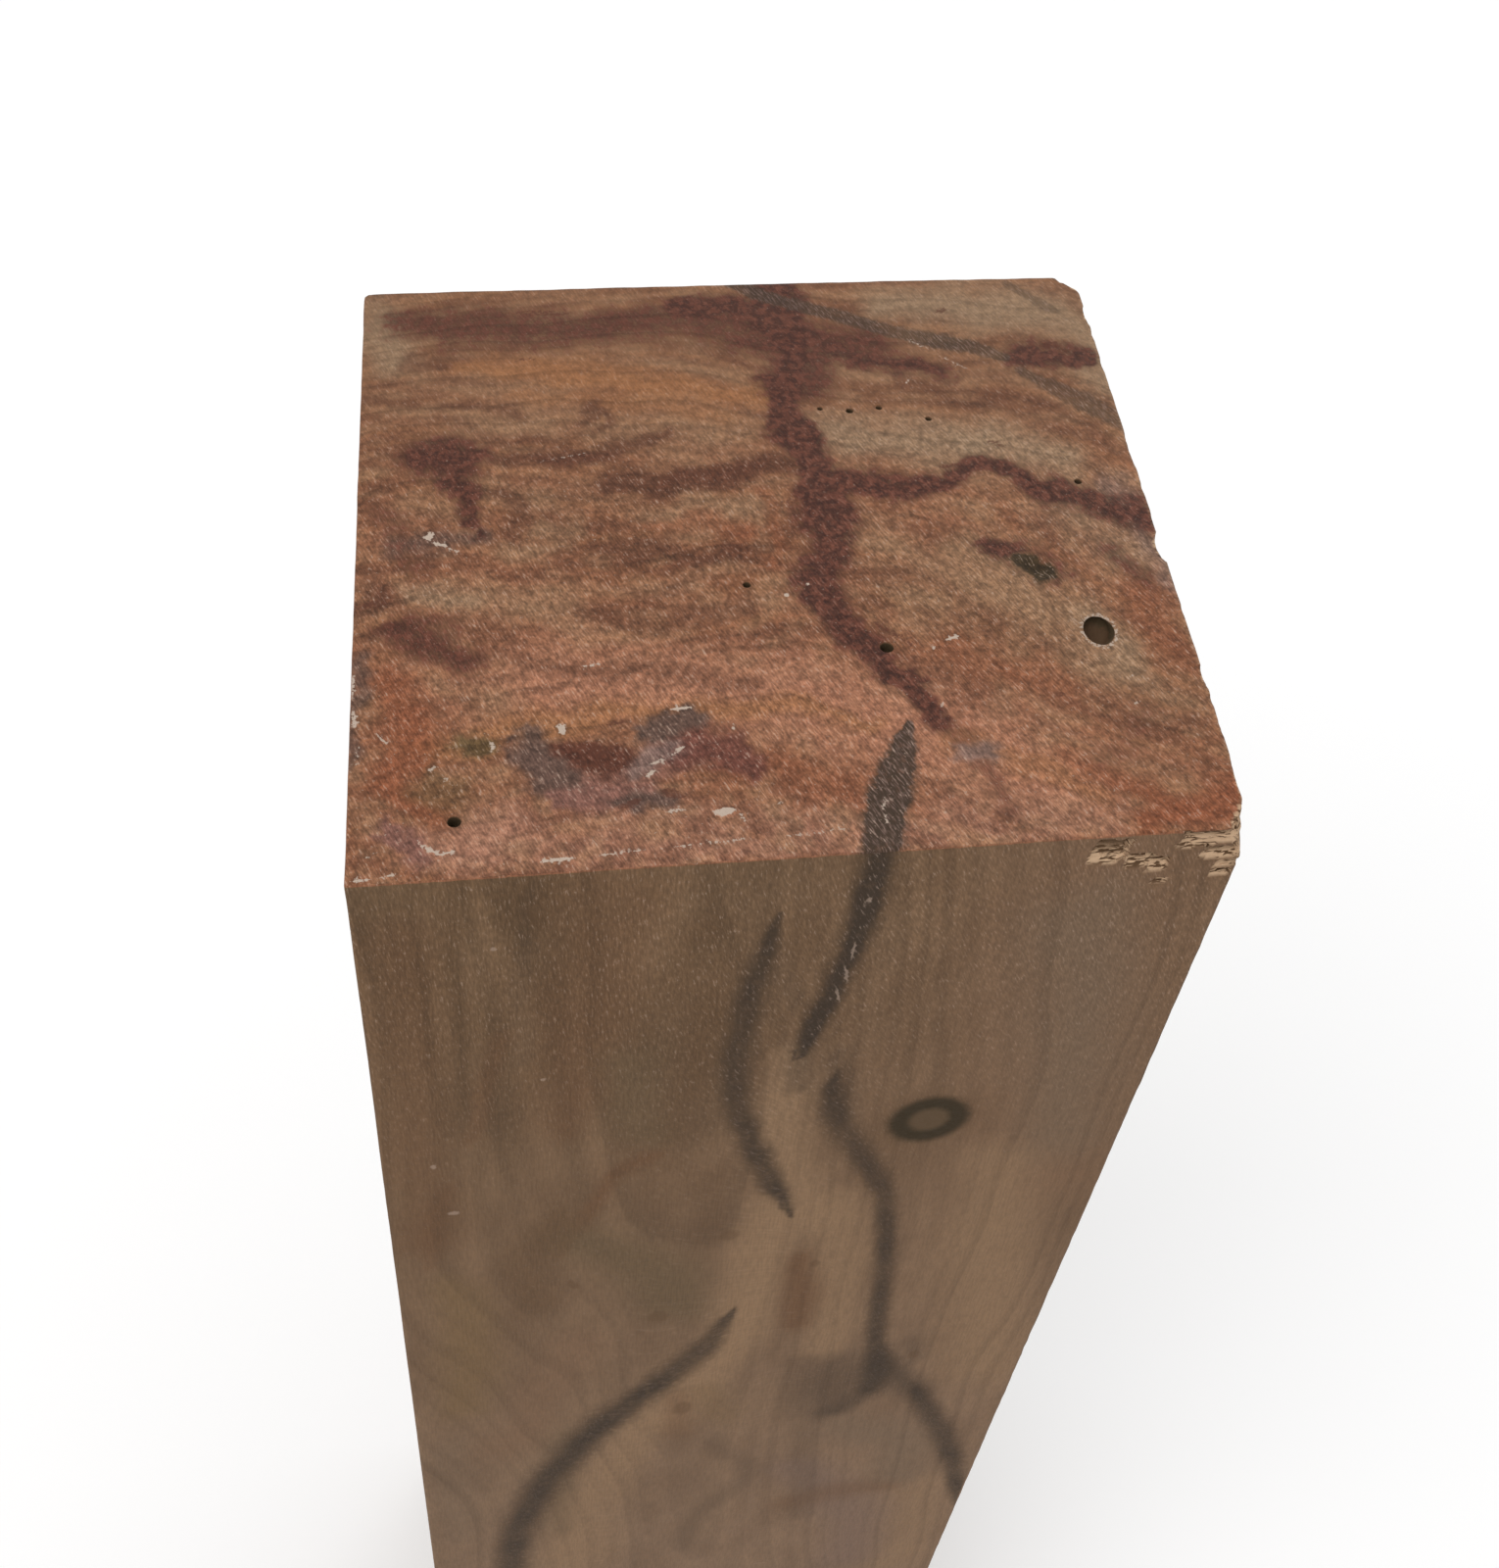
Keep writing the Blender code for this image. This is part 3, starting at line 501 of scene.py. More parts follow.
# Small marks of the end, pale above 0 and dark below: strength, x, y, angle, half length, half width
END_MARKS = (
    (1, -31.2, 1.4, 60, 0.62, 0.34), (0.8, -30.3, 0.3, -20, 0.9, 0.2), (0.6, -29, -0.6, -35, 0.9, 0.12),
    (1, -21, -22.8, 100, 0.62, 0.36), (1, -8.3, -32.8, 8, 0.95, 0.42), (0.6, -6.9, -33.6, -70, 0.6, 0.16),
    (0.6, -12.4, -32.4, 5, 0.9, 0.22), (0.5, -3.4, -32.2, 20, 0.5, 0.14),
    (0.8, -14, -28.3, 30, 0.55, 0.22), (0.7, -13.2, -27, 20, 0.8, 0.16),
    (0.7, -11.4, -25.9, 35, 1.1, 0.16), (0.9, -10.6, -21.2, 5, 1.15, 0.14),
    (0.5, -8, -26.3, 0, 0.75, 0.65), (-0.9, -8, -26.3, 0, 0.4, 0.32), (0.7, -6.3, -23.6, 80, 0.4, 0.14),
    (0.9, -32.6, -34.9, -35, 1, 0.12), (0.8, -31.2, -35.3, 15, 0.9, 0.1),
    (0.6, -33.4, -34.2, -70, 0.5, 0.1), (0.9, -22.6, -36.7, 4, 1.8, 0.16),
    (0.6, -17.2, -36.4, 4, 2.6, 0.08), (0.6, -10, -36, 3, 4.2, 0.07), (0.5, -1, -35.6, 4, 3.6, 0.09),
    (0.8, -38.2, -37.5, 4, 0.9, 0.14), (0.7, -35.9, -37.2, 10, 0.9, 0.1), (0.5, -37.2, -35, 30, 0.9, 0.1),
    (0.4, -18.1, 11.6, 12, 2.9, 0.09), (0.5, 20, 27.1, -38, 1.5, 0.12), (0.5, 23.1, 24, -41, 2.2, 0.12),
    (0.6, 17.8, 21.4, 50, 0.8, 0.12), (0.9, 15, -14.5, 20, 0.85, 0.15), (0.7, 13, -15.6, 70, 0.3, 0.16),
    (1, 0.7, -8.2, 0, 0.26, 0.24), (0.9, 2.8, -6.9, 0, 0.2, 0.2), (0.6, 12.4, -22.4, 60, 0.5, 0.14),
    (0.8, -38.5, -16.6, 85, 1.3, 0.26), (0.8, -38.4, -20.5, 95, 1.2, 0.22),
    (0.5, -38.2, -24.6, 80, 1.4, 0.16), (0.6, -36.2, -22.8, -50, 1, 0.12),
    (0.8, -26.9, -24.3, 80, 0.6, 0.26), (0.6, -32, -26.4, 20, 0.6, 0.2), (0.5, -31, -27.6, 60, 0.5, 0.2),
    (0.7, -17.8, -15.6, 6, 1.1, 0.11), (0.5, 30.2, -20.4, 60, 0.5, 0.2), (0.5, 30, -23.4, 20, 0.4, 0.16),
    (0.5, 5.2, -33, 75, 0.9, 0.14), (0.6, 5, -34.6, 100, 0.8, 0.12), (-0.9, 34, 26.3, 10, 1.2, 0.6),
    (-0.8, 23.5, 32.6, 20, 0.7, 0.4), (-0.8, -35.7, -9.8, 10, 0.9, 0.4), (-0.8, -36.4, -7, 5, 1.3, 0.45),
    (-0.7, 3, 4.2, 10, 1, 0.3), (-0.9, -16, -31.4, 25, 1.1, 0.4), (-0.9, -12.4, -30.6, -25, 1.1, 0.5),
    (-0.8, -18.2, -25.6, 0, 0.9, 0.7), (-0.7, 23.2, -22, 30, 0.5, 0.3),
    (-0.7, -16.4, -22.4, 10, 1.1, 0.35), (-0.6, -20.6, 26.4, 5, 1.2, 0.3),
    (-0.7, -18.4, 33.8, -4, 3.4, 0.45), (-0.7, -9.8, 31.6, -10, 3, 0.5),
    (-0.7, 24.8, 11.4, -35, 1.1, 0.3), (-0.7, 19.2, 8.4, 5, 1.4, 0.3), (-0.8, 9.6, -13.6, -45, 3, 0.16),
    (-0.6, -26.2, -36.2, 20, 0.6, 0.35),
)
# Small marks of the front face: along, below the end, angle, half length, half width
FRONT_PALE = (
    (3.9, 6.9, 90, 0.5, 0.25), (3.4, 14.4, 92, 1.6, 0.18), (3.2, 18, 80, 1.6, 0.22),
    (2.8, 21.4, 78, 1.4, 0.14), (-27.9, 10.2, 0, 0.35, 0.35), (-23.8, 31.9, 0, 0.3, 0.3),
    (-34.5, 46.6, 0, 0.35, 0.5), (-32.9, 56.5, 0, 0.7, 0.5),
)
FRONT_DARK = (
    (-3.9, 67.1, 10, 1.3, 1.5), (-10.8, 86.1, 0, 1.4, 1.9), (-6.6, 113.5, 0, 1.5, 2.3),
    (21.8, 104.3, 0, 0.8, 1.5), (-24.4, 6.4, 70, 2.6, 0.5), (6.4, 76, 0, 0.7, 1),
    (-20.6, 75.5, 60, 1.6, 0.7),
)
RING_KNOT = (14.9, 45.6, 4, 4.3, 4.5)
MARK_FADE = 1.5  # how far out of its half length and width a mark of the end fades
MARK_MARGIN = 0.35


# The skin's mesh

def stretches(*parts):
    """Places over (start, stop, count) parts, each divided evenly, without the last place."""
    return np.concatenate([np.linspace(start, stop, count, endpoint=False) for start, stop, count in parts])


def ring_round_the_blank():
    """The skin's columns, counterclockwise from the front left arris: place, face and place along it."""
    half = WIDTH / 2
    plain = stretches(
        (-HALF, FINE - HALF, 2), (FINE - HALF, HALF - FINE, 148), (HALF - FINE, HALF, 2)
    )
    torn = TORN_FROM - lean(-HALF)
    front = stretches(
        (-half, FINE - half, 2), (FINE - half, torn, 122), (torn, half - FINE, 56), (half - FINE, half, 2)
    )
    sides = (
        (front, np.full_like(front, -HALF)),
        (np.full_like(plain, half), plain),
        (-plain * half / HALF, np.full_like(plain, HALF)),
        (np.full_like(plain, -half), -plain),
    )
    across = np.concatenate([side[0] for side in sides])
    deep = np.concatenate([side[1] for side in sides])
    face = np.repeat(np.arange(4), [len(side[0]) for side in sides])
    along = np.where(face % 2 == 0, across + lean(deep), deep)
    return np.column_stack((across, deep)), face, along


def row_depths():
    """How far below the upper end each row of points lies."""
    return np.concatenate((
        np.arange(FINEST, FINEST_DOWN_TO, FINEST),
        np.arange(FINEST_DOWN_TO, FINE_DOWN_TO + FINE / 2, FINE),
        stretches((FINE_DOWN_TO, SHARP_DOWN_TO, 32), (SHARP_DOWN_TO, PHOTO_DOWN_TO, 60))[1:],
        stretches((PHOTO_DOWN_TO, LENGTH - 1, 34)),
        (LENGTH - 1, LENGTH - END_EASE, LENGTH),
    ))


def round_points(centre, wide, tall, count, turn=0.0):
    angles = np.arange(count) * 2 * math.pi / count + turn
    return np.column_stack((centre[0] + wide * np.cos(angles), centre[1] + tall * np.sin(angles)))


def holes_of_the_end():
    """Centre, half width, half length of the mouth, depth, lean and number of sides of each round hole."""
    tall = GALLERY_WIDE / 2 / math.cos(GALLERY_LEAN)
    made = [(on_end(*GALLERY), GALLERY_WIDE / 2, tall, GALLERY_DEEP, GALLERY_LEAN, 44)]
    for across, deep, wide in PINHOLES:
        made.append((on_end(across, deep), wide / 2, wide / 2, PINHOLE_DEEP, 0.0, 16))
    return made


def unlean(points):
    made = np.array(points, float)
    made[:, 0] -= lean(made[:, 1])
    return made


def clear_of(spots, avoid):
    """Those spots of the square section that lie farther from each centre than its reach."""
    for centre, reach in avoid:
        gap = np.hypot(spots[:, 0] + lean(spots[:, 1]) - centre[0], spots[:, 1] - centre[1])
        spots = spots[gap > reach]
    return spots


def inner_grid(half_x, half_y, step, avoid):
    """Uneven grid points inside the end, clear of the holes' rings."""
    xs = np.arange(-half_x, half_x + step / 2, step)
    ys = np.arange(-half_y, half_y + step / 2, step)
    grid = np.array([(x, y) for x in xs for y in ys])
    return clear_of(grid + JITTER * wander(grid * 7.3, 1.0, 0.5)[:, :2], avoid)


def mark_points(grid, avoid):
    """Points on and round each small mark of the end, to paint it sharply, and the grid clear of them."""
    made = []
    for _, x, y, angle, long, wide in END_MARKS:
        count = max(8, 2 * math.ceil(math.pi * long / FINE))
        rings = [round_points((0, 0), long * grow, wide * grow, count) for grow in (MARK_FADE, 0.7)]
        spots = unlean(turned_by(np.vstack(rings), -angle) + (x, y))
        inside = (abs(spots[:, 0]) < WIDTH / 2 - MARK_MARGIN) & (abs(spots[:, 1]) < HALF - MARK_MARGIN)
        made.append(spots[inside])
        away = turned_by(grid + np.column_stack((lean(grid[:, 1]), np.zeros(len(grid)))) - (x, y), angle)
        reach = MARK_FADE * np.array((long, wide)) + 0.16
        grid = grid[np.linalg.norm(away / reach, axis=1) > 1]
    return clear_of(np.vstack(made), avoid), grid


def flat_triangles(flat, edges):
    """Counterclockwise Delaunay triangles that keep the edges, without the empty ones along the rim."""
    cut = geometry.delaunay_2d_cdt([Vector(point) for point in flat], edges, [], 0, 1e-6, True)
    index_of = np.array([origin[0] for origin in cut[3]])
    triangles = index_of[np.array(cut[2])]
    first, second, third = (flat[triangles[:, corner]] for corner in range(3))
    one, two = second - first, third - first
    area = one[:, 0] * two[:, 1] - one[:, 1] * two[:, 0]
    triangles[area < 0] = triangles[area < 0][:, ::-1]
    return triangles[abs(area) > 1e-3]


def end_cap(ring):
    """Triangles of the upper end round its holes. Returns places, triangles and the holes' mouth rings."""
    points = [ring, ring * (1 - FINEST / HALF)]
    loops = [list(range(len(ring)))]
    avoid = []
    mouths = []
    count = 2 * len(ring)
    for centre, wide, tall, _, _, sides in holes_of_the_end():
        mouths.append(list(range(count, count + sides)))
        loops.append(mouths[-1])
        rings = (1.0, 1.16, 1.4) if wide > 1 else (1.0, 1.5)
        for grow in rings:
            points.append(unlean(round_points(centre, wide * grow, tall * grow, sides)))
            count += sides
        avoid.append((centre, tall * rings[-1] + 0.22))
    for across, deep, wide in DISHES:
        centre = on_end(across, deep)
        for share, sides in ((1.12, 30), (1.0, 30), (0.8, 24), (0.55, 18), (0.28, 9)):
            points.append(unlean(round_points(centre, wide / 2 * share, wide / 2 * share, sides)))
            count += sides
        points.append(unlean([centre]))
        count += 1
        avoid.append((centre, wide / 2 * 1.12 + 0.25))
    grid = inner_grid(WIDTH / 2 - END_MARGIN, HALF - END_MARGIN, END_STEP, avoid)
    marks, grid = mark_points(grid, avoid)
    points += [marks, grid]
    flat = np.vstack(points)
    edges = [(loop[i], loop[(i + 1) % len(loop)]) for loop in loops for i in range(len(loop))]
    triangles = flat_triangles(flat, edges)
    middles = flat[triangles].mean(axis=1)
    middles[:, 0] += lean(middles[:, 1])
    keep = np.ones(len(triangles), bool)
    for centre, wide, tall, *_ in holes_of_the_end():
        inside = np.hypot((middles[:, 0] - centre[0]) / wide, (middles[:, 1] - centre[1]) / tall) < 1
        keep &= ~inside
    triangles = triangles[keep]
    return flat, triangles, mouths


def hole_wall(centre, wide, tall, deep, slant, sides, mouth, start):
    """Rings and faces of a hole below its mouth ring, whose first new point has the index start."""
    rows = max(4, int(deep / 0.5))
    angles = np.arange(sides) * 2 * math.pi / sides
    ring_x, ring_y = wide * np.cos(angles), wide * np.sin(angles)
    mouth_down = -ring_y * math.tan(slant)
    places, faces = [], []
    above = mouth
    for row in range(1, rows + 3):
        share = min(row / rows, 1.0)
        shrink, lift = ((1.0, 0.4), (0.82, 0.12), (0.45, 0.0))[max(0, row - rows)]
        down = (1 - share) * mouth_down - share * (deep - wide * lift)
        x, y = ring_x * shrink, ring_y * shrink
        back = y * math.cos(slant) - down * math.sin(slant)
        up = y * math.sin(slant) + down * math.cos(slant)
        uneven = 1 + 0.05 * np.sin(3 * angles + row * 1.7)
        places.append(np.column_stack((centre[0] + x * uneven, centre[1] + back, LENGTH + up)))
        below = list(range(start, start + sides))
        start += sides
        for here in range(sides):
            there = (here + 1) % sides
            faces.append((above[here], above[there], below[there], below[here]))
        above = below
    floor = np.array([[centre[0], centre[1] + deep * math.sin(slant), LENGTH - deep * math.cos(slant)]])
    places.append(floor)
    faces += [(start, above[here], above[(here + 1) % sides]) for here in range(sides)]
    return np.vstack(places), faces


class Skin:
    """The blank's surface as it grows: points, faces, and the face, place along it and place below."""

    def __init__(self):
        self.points = np.zeros((0, 3))
        self.where = np.zeros((0, 3))
        self.faces = []

    def add(self, points, faces, face=ELSEWHERE, along=0, below=0):
        where = [np.broadcast_to(part, len(points)) for part in (face, along, below)]
        self.points = np.vstack((self.points, points))
        self.where = np.vstack((self.where, np.column_stack(where)))
        self.faces.extend(faces)


def at_height(flat, height):
    return np.column_stack((flat, np.full(len(flat), height)))


def band(upper, lower):
    count = len(upper)
    return [
        (lower[here], lower[(here + 1) % count], upper[(here + 1) % count], upper[here])
        for here in range(count)
    ]


def halving_band(upper, lower):
    """Joins a ring to one with half as many points."""
    made = []
    for here in range(len(lower)):
        left, right = lower[here], lower[(here + 1) % len(lower)]
        first, middle = upper[2 * here], upper[2 * here + 1]
        last = upper[(2 * here + 2) % len(upper)]
        made += [(left, right, middle), (left, middle, first), (right, last, middle)]
    return made


def block_mesh():
    """The closed skin before any easing, and the mouth rings of its holes."""
    ring, face, along = ring_round_the_blank()
    flat, triangles, mouths = end_cap(ring)
    skin = Skin()
    skin.add(at_height(flat, LENGTH), triangles.tolist(), UPPER_END)
    skin.where[:len(ring), :2] = np.column_stack((face, along))
    above = list(range(len(ring)))
    for depth in row_depths():
        pick = slice(None, None, 1 if depth <= FINE_DOWN_TO + 1e-6 else 2)
        start = len(skin.points)
        below = list(range(start, start + len(ring[pick])))
        join = band if len(below) == len(above) else halving_band
        skin.add(at_height(ring[pick], LENGTH - depth), join(above, below), face[pick], along[pick], depth)
        above = below
    inner = inner_grid(WIDTH / 2 - LOWER_MARGIN, HALF - LOWER_MARGIN, LOWER_STEP, [])
    edges = [(here, (here + 1) % len(above)) for here in range(len(above))]
    triangles = flat_triangles(np.vstack((ring[::2], inner)), edges)[:, ::-1]
    index_of = np.array(above + list(range(len(skin.points), len(skin.points) + len(inner))))
    skin.add(at_height(inner, 0), index_of[triangles].tolist(), LOWER_END, inner[:, 0], LENGTH)
    return skin, mouths


# Shaping

def ease_arrises(points):
    """Rounds the edges of the square block. Returns the points and the way out of the surface at each."""
    near_end = ease_step(LENGTH / 2 - abs(points[:, 2] - LENGTH / 2), 0.4, 3.0)
    uneven = 1 + 0.35 * ripple(points, 2.3, 4.0)
    radius = (END_EASE + (LONG_EASE - END_EASE) * near_end) * uneven
    reach = np.array((WIDTH / 2, HALF))
    inner = points.copy()
    inner[:, :2] = np.clip(points[:, :2], -(reach - radius[:, None]), reach - radius[:, None])
    inner[:, 2] = np.clip(points[:, 2], radius, LENGTH - radius)
    out = points - inner
    size = np.linalg.norm(out, axis=1)
    out /= np.maximum(size, 1e-9)[:, None]
    return inner + out * np.where(size > 0, radius, 0)[:, None], out


def knock_corners(points):
    """Presses what stands past each knocked corner's plane back onto it. Returns the raw share."""
    raw = np.zeros(len(points))
    for side, face, wide, deep, down in KNOCKS:
        tip = np.array((side * WIDTH / 2 + lean(face * HALF), face * HALF, LENGTH))
        along_width = tip - (side * wide, 0, 0)
        along_depth = tip - (lean(face * deep), face * deep, 0)
        along_length = tip - (0, 0, down)
        normal = np.cross(along_depth - along_width, along_length - along_width)
        normal /= np.linalg.norm(normal)
        if normal @ (tip - along_width) < 0:
            normal = -normal
        near = np.linalg.norm(points - tip, axis=1) < 9
        spots = points[near]
        rough = 0.28 * ripple(spots, 1.1, 2.0) + 0.12 * ripple(spots, 0.45, 3.0) - 0.12
        past = (spots - along_width) @ normal - np.minimum(rough, 0)
        moved = np.maximum(past, 0)
        points[near] = spots - moved[:, None] * normal
        raw[near] = np.maximum(raw[near], ease_step(past, -0.06, 0.10))
    return raw


def nick_the_arris(points):
    """Small round chips out of the right arris of the upper end. Returns the raw share."""
    outward = np.array((math.cos(OUT_OF_SQUARE), -math.sin(OUT_OF_SQUARE), 0))
    along = np.array((math.sin(OUT_OF_SQUARE), math.cos(OUT_OF_SQUARE), 0))
    near = (points[:, 0] - lean(points[:, 1]) > WIDTH / 2 - 2.5) & (LENGTH - points[:, 2] < 5)
    spots = points[near]
    out = (spots - (WIDTH / 2, 0, 0)) @ outward
    drop = LENGTH - spots[:, 2]
    down_grain = spots * (0, 1, 0.3)
    fray = 0.04 + 0.07 * ripple(down_grain, 0.9, 5.0) + 0.06 * ripple(down_grain, 0.4, 6.0)
    cut = ease_step(drop, 2.4, 0.0) * fray
    uneven = 0.05 * ripple(spots, 0.5, 16.0)
    for deep, length, depth in NICKS:
        centre = np.array((WIDTH / 2 + lean(deep * DEPTH), deep * DEPTH, LENGTH))
        a = (spots - centre) @ along / (length / 2)
        b = drop / NICK_TALL
        inside = np.sqrt(np.clip(1 - a**2 - b**2, 0, 1))
        cut = np.maximum(cut, depth * inside + uneven * (inside > 0))
    over = np.maximum(out + cut, 0)
    points[near] = spots - over[:, None] * outward
    raw = np.zeros(len(points))
    rubbed = 0.30 * ease_step(out, -0.50, -0.10) * ease_step(drop, 0.9, 0.3)
    raw[near] = np.maximum(rubbed, ease_step(over, 0.03, 0.14) * ease_step(drop, NICK_TALL, 0.4))
    return raw


def bow_the_back(points):
    """The back face is a little fuller in its middle than at its sides."""
    behind = ease_step(points[:, 1], HALF - 6, HALF)
    from_middle = (points[:, 0] - 12) / 50
    points[:, 1] -= BOW * behind * np.clip(from_middle**2, 0, 1)


def torn_depth(along, below):
    """How deep the grain is torn out of the front face, with ragged steps along the grain of the tear."""
    spots = np.column_stack((along, below))
    warp = 0.34 * wander(spots * (0.45, 1.0), 0.8, 7.0)[:, :2]
    warp += 0.16 * wander(spots * (0.5, 1.3), 0.35, 8.0)[:, :2]
    depth = np.zeros(len(spots))
    right = WIDTH / 2 + lean(-HALF)
    for from_right, from_end, length, height, deep, slant in CHIPS:
        away = spots - (right - from_right, from_end) + warp * (1.3, 0.5)
        a, b = turned_by(away, -slant).T
        inside = ease_step(length / 2 + 0.12 - abs(a), 0, 0.24)
        inside *= ease_step(height / 2 + 0.1 - abs(b), 0, 0.2)
        depth = np.maximum(depth, inside * deep * np.clip(0.5 - b / height, 0.08, 1))
    strips = ripple(spots * (0.22, 1.0), 0.32, 9.0)
    return depth + np.where(depth > 0.05, 0.16 * (strips + 0.6), 0)


def tear_the_grain(points):
    near = (points[:, 1] < -HALF + 6) & (points[:, 0] > TORN_FROM - 1) & (LENGTH - points[:, 2] < 8)
    spots = points[near]
    depth = torn_depth(spots[:, 0], LENGTH - spots[:, 2])
    behind = spots[:, 1] + HALF
    moved = depth * np.clip(1 - behind / (3 * np.maximum(depth, 0.01)), 0, 1)
    points[near] = spots + moved[:, None] * (lean(1), 1, 0)
    torn = np.zeros(len(points))
    torn[near] = moved
    return torn


def sink_dishes(points, cap):
    for across, deep, wide in DISHES:
        centre = on_end(across, deep)
        gap = np.hypot(points[:, 0] - centre[0], points[:, 1] - centre[1]) / (wide / 2)
        points[:, 2] -= np.where(cap & (gap < 1), DISH_DEEP * (1 - gap**2), 0)


def relief(points, out, face):
    """Fine unevenness of the sawn surfaces, only inwards."""
    cap, sides = face == UPPER_END, face >= 0
    depth = np.zeros(len(points))
    on_cap = points[cap]
    turned = on_cap @ np.array(Matrix.Rotation(math.radians(70), 3, "Z").transposed())
    depth[cap] = (
        0.045
        + 0.03 * ripple(on_cap, 5.0, 11.0)
        + 0.025 * ripple(turned * (0.35, 1, 1), 1.0, 12.0)
    )
    on_side = points[sides]
    depth[sides] = (
        0.05
        + 0.04 * ripple(on_side * (1, 1, 0.25), 6.0, 13.0)
        + 0.02 * ripple(on_side * (1, 1, 0.6), 1.6, 14.0)
    )
    depth *= ease_step(LENGTH - points[:, 2], -0.2, 0.0) * ease_step(points[:, 2], 0.0, 1.0)
    points -= np.maximum(depth, 0)[:, None] * out


def slivers():
    """Loose splinters that still hang in the torn grain: points and faces of small pointed spindles."""
    rng = np.random.default_rng(17)
    right = WIDTH / 2 + lean(-HALF)
    made_points, made_faces = [], []
    for from_right, from_end, length, height, deep, slant in CHIPS:
        for _ in range(2):
            long = rng.uniform(0.35, 0.6) * min(length, 4.0)
            thick = rng.uniform(0.10, 0.17)
            middle = np.array((
                right - max(from_right, long / 2 + 0.5) + rng.uniform(-0.25, 0.25) * length,
                -HALF + 0.22 + rng.uniform(0.05, 0.3) * deep,
                LENGTH - from_end + rng.uniform(-0.3, 0.35) * height,
            ))
            turn = Euler((
                rng.uniform(0, 1.0),
                math.radians(slant + rng.uniform(-9, 9)),
                math.radians(rng.uniform(-6, 6)),
            )).to_matrix()
            start = sum(len(points) for points in made_points)
            local = [(-long / 2, 0, 0), (long / 2, 0, 0)]
            for share, size in ((-0.22, 1.0), (0.20, 0.85)):
                for angle in (math.pi / 4 + quarter * math.pi / 2 for quarter in range(4)):
                    flat, tall = 0.6 * thick * size, 1.3 * thick * size
                    local.append((share * long, flat * math.cos(angle), tall * math.sin(angle)))
            made_points.append(np.array([turn @ Vector(point) for point in local]) + middle)
            for here in range(4):
                there = (here + 1) % 4
                a, b, c, d = 2 + here, 2 + there, 6 + there, 6 + here
                made_faces += [
                    (start, start + b, start + a),
                    (start + a, start + b, start + c, start + d),
                    (start + 1, start + d, start + c),
                ]
    return np.vstack(made_points), made_faces


# Painting the skin

RING_PITCH = 1.7
PITH = (-14.0, -60.0)
PITH_DRIFT = (0.05, -0.03)
WAY_ROUND_RADIUS = 70


def rings_at(points):
    """The growth ring that each point lies in, counted from the pith, and the way round to it in mm."""
    bend = 7.0 * wander(points * (1, 1, 0.35), 32.0, 51.0)[:, :2]
    bend += 1.3 * wander(points * (1, 1, 0.3), 9.0, 52.0)[:, :2]
    below = LENGTH - points[:, 2]
    away = points[:, :2] + bend - np.array(PITH) - below[:, None] * np.array(PITH_DRIFT)
    round_way = WAY_ROUND_RADIUS * np.arctan2(away[:, 0], away[:, 1])
    return np.hypot(away[:, 0], away[:, 1]) / RING_PITCH, round_way


def swing(spots, seed, steepness=2.6):
    """A smooth random value from -1 to 1 that spends some time near both."""
    return np.tanh(steepness * ripple(spots, 1.0, seed))


def shade(tint, swings, amount, light, dark):
    """Moves the tint towards a light colour where the swings are up and a dark one where they are down."""
    up = amount * np.clip(swings, 0, 1)[:, None]
    down = amount * np.clip(-swings, 0, 1)[:, None]
    tint += up * (np.array(light) - tint)
    tint += down * (np.array(dark) - tint)


def taupe_with_painted_shade(along, below, face):
    """The dry faces: darker towards the upper end as painted shade, lighter down the length, rosier at the
    front's right.
    """
    # painted shade: the faces darken from far down the length towards the upper end
    down = ease_step(below, -30, 175)[:, None]
    across = np.where(face == 0, along, np.where(face == 1, -along * 0.4 + 10, -along * 0.3 - 6))
    rosy = ease_step(across, -30, 34)[:, None] * (1 - 0.5 * down)
    tint = np.array(TAUPE) + down * (np.array(TAUPE_LOW) - TAUPE)
    return tint + rosy * 0.55 * (np.array(TAUPE_ROSY) - TAUPE)


FACE_PAINTS = (FRONT_PAINT, RIGHT_PAINT, BACK_PAINT, LEFT_PAINT)
FACE_SPALTS = (FRONT_SPALT, RIGHT_SPALT, BACK_SPALT, LEFT_SPALT)


def paint_the_end(layers, points, on_the_end, round_way):
    spots = points[on_the_end][:, :2]
    across, round_way = layers["ring"][on_the_end] * RING_PITCH, round_way[on_the_end]
    coarse, fine = wander(spots, 4.2, 21.0)[:, :2], wander(spots, 1.3, 22.0)[:, :2]
    wandered = spots + 1.6 * coarse + 0.7 * fine
    torn_edge = spots + 1.5 * coarse + 1.1 * fine + 0.5 * wander(spots, 0.7, 24.0)[:, :2]
    steady = spots + 0.3 * fine
    tint = np.tile(np.array(SEALED), (len(spots), 1))
    for colour, strength, soft, line in END_PAINT[:END_GROUND]:
        paint(wandered, tint, colour, strength, soft, line)
    drawn_out = np.column_stack((round_way / 9.0, across / 3.4))
    shade(tint, swing(drawn_out, 61.0), 0.56, TAN, LIVER)
    shade(tint, swing(np.column_stack((round_way / 3.4, across / 1.7)), 62.0), 0.46, TAN, LIVER)
    shade(tint, swing(np.column_stack((round_way / 14.0, across / 0.9)), 63.0), 0.30, ORANGE, SEALED_DARK)
    for colour, strength, soft, line in END_PAINT[END_GROUND:]:
        paint(wandered, tint, colour, strength, soft, line)
    purple = np.zeros(len(spots))
    for strength, line in END_PURPLE:
        wider = [(x, y, 1.25 * wide + 0.5) for x, y, wide in line]
        purple = np.maximum(purple, strength * ease_step(nearness(torn_edge, wider), 0, 1))
    crisp = spots + 0.5 * coarse + 0.9 * fine + 0.5 * wander(spots, 0.7, 24.0)[:, :2]
    for colour, strength, soft, line in END_BLOTS:
        purple *= 1 - paint(crisp, tint, colour, strength, soft, line)
    layers["end_tint"][on_the_end] = tint
    layers["purple"][on_the_end] = purple
    layers["spalt"][on_the_end] = line_field(steady, END_SPALT)


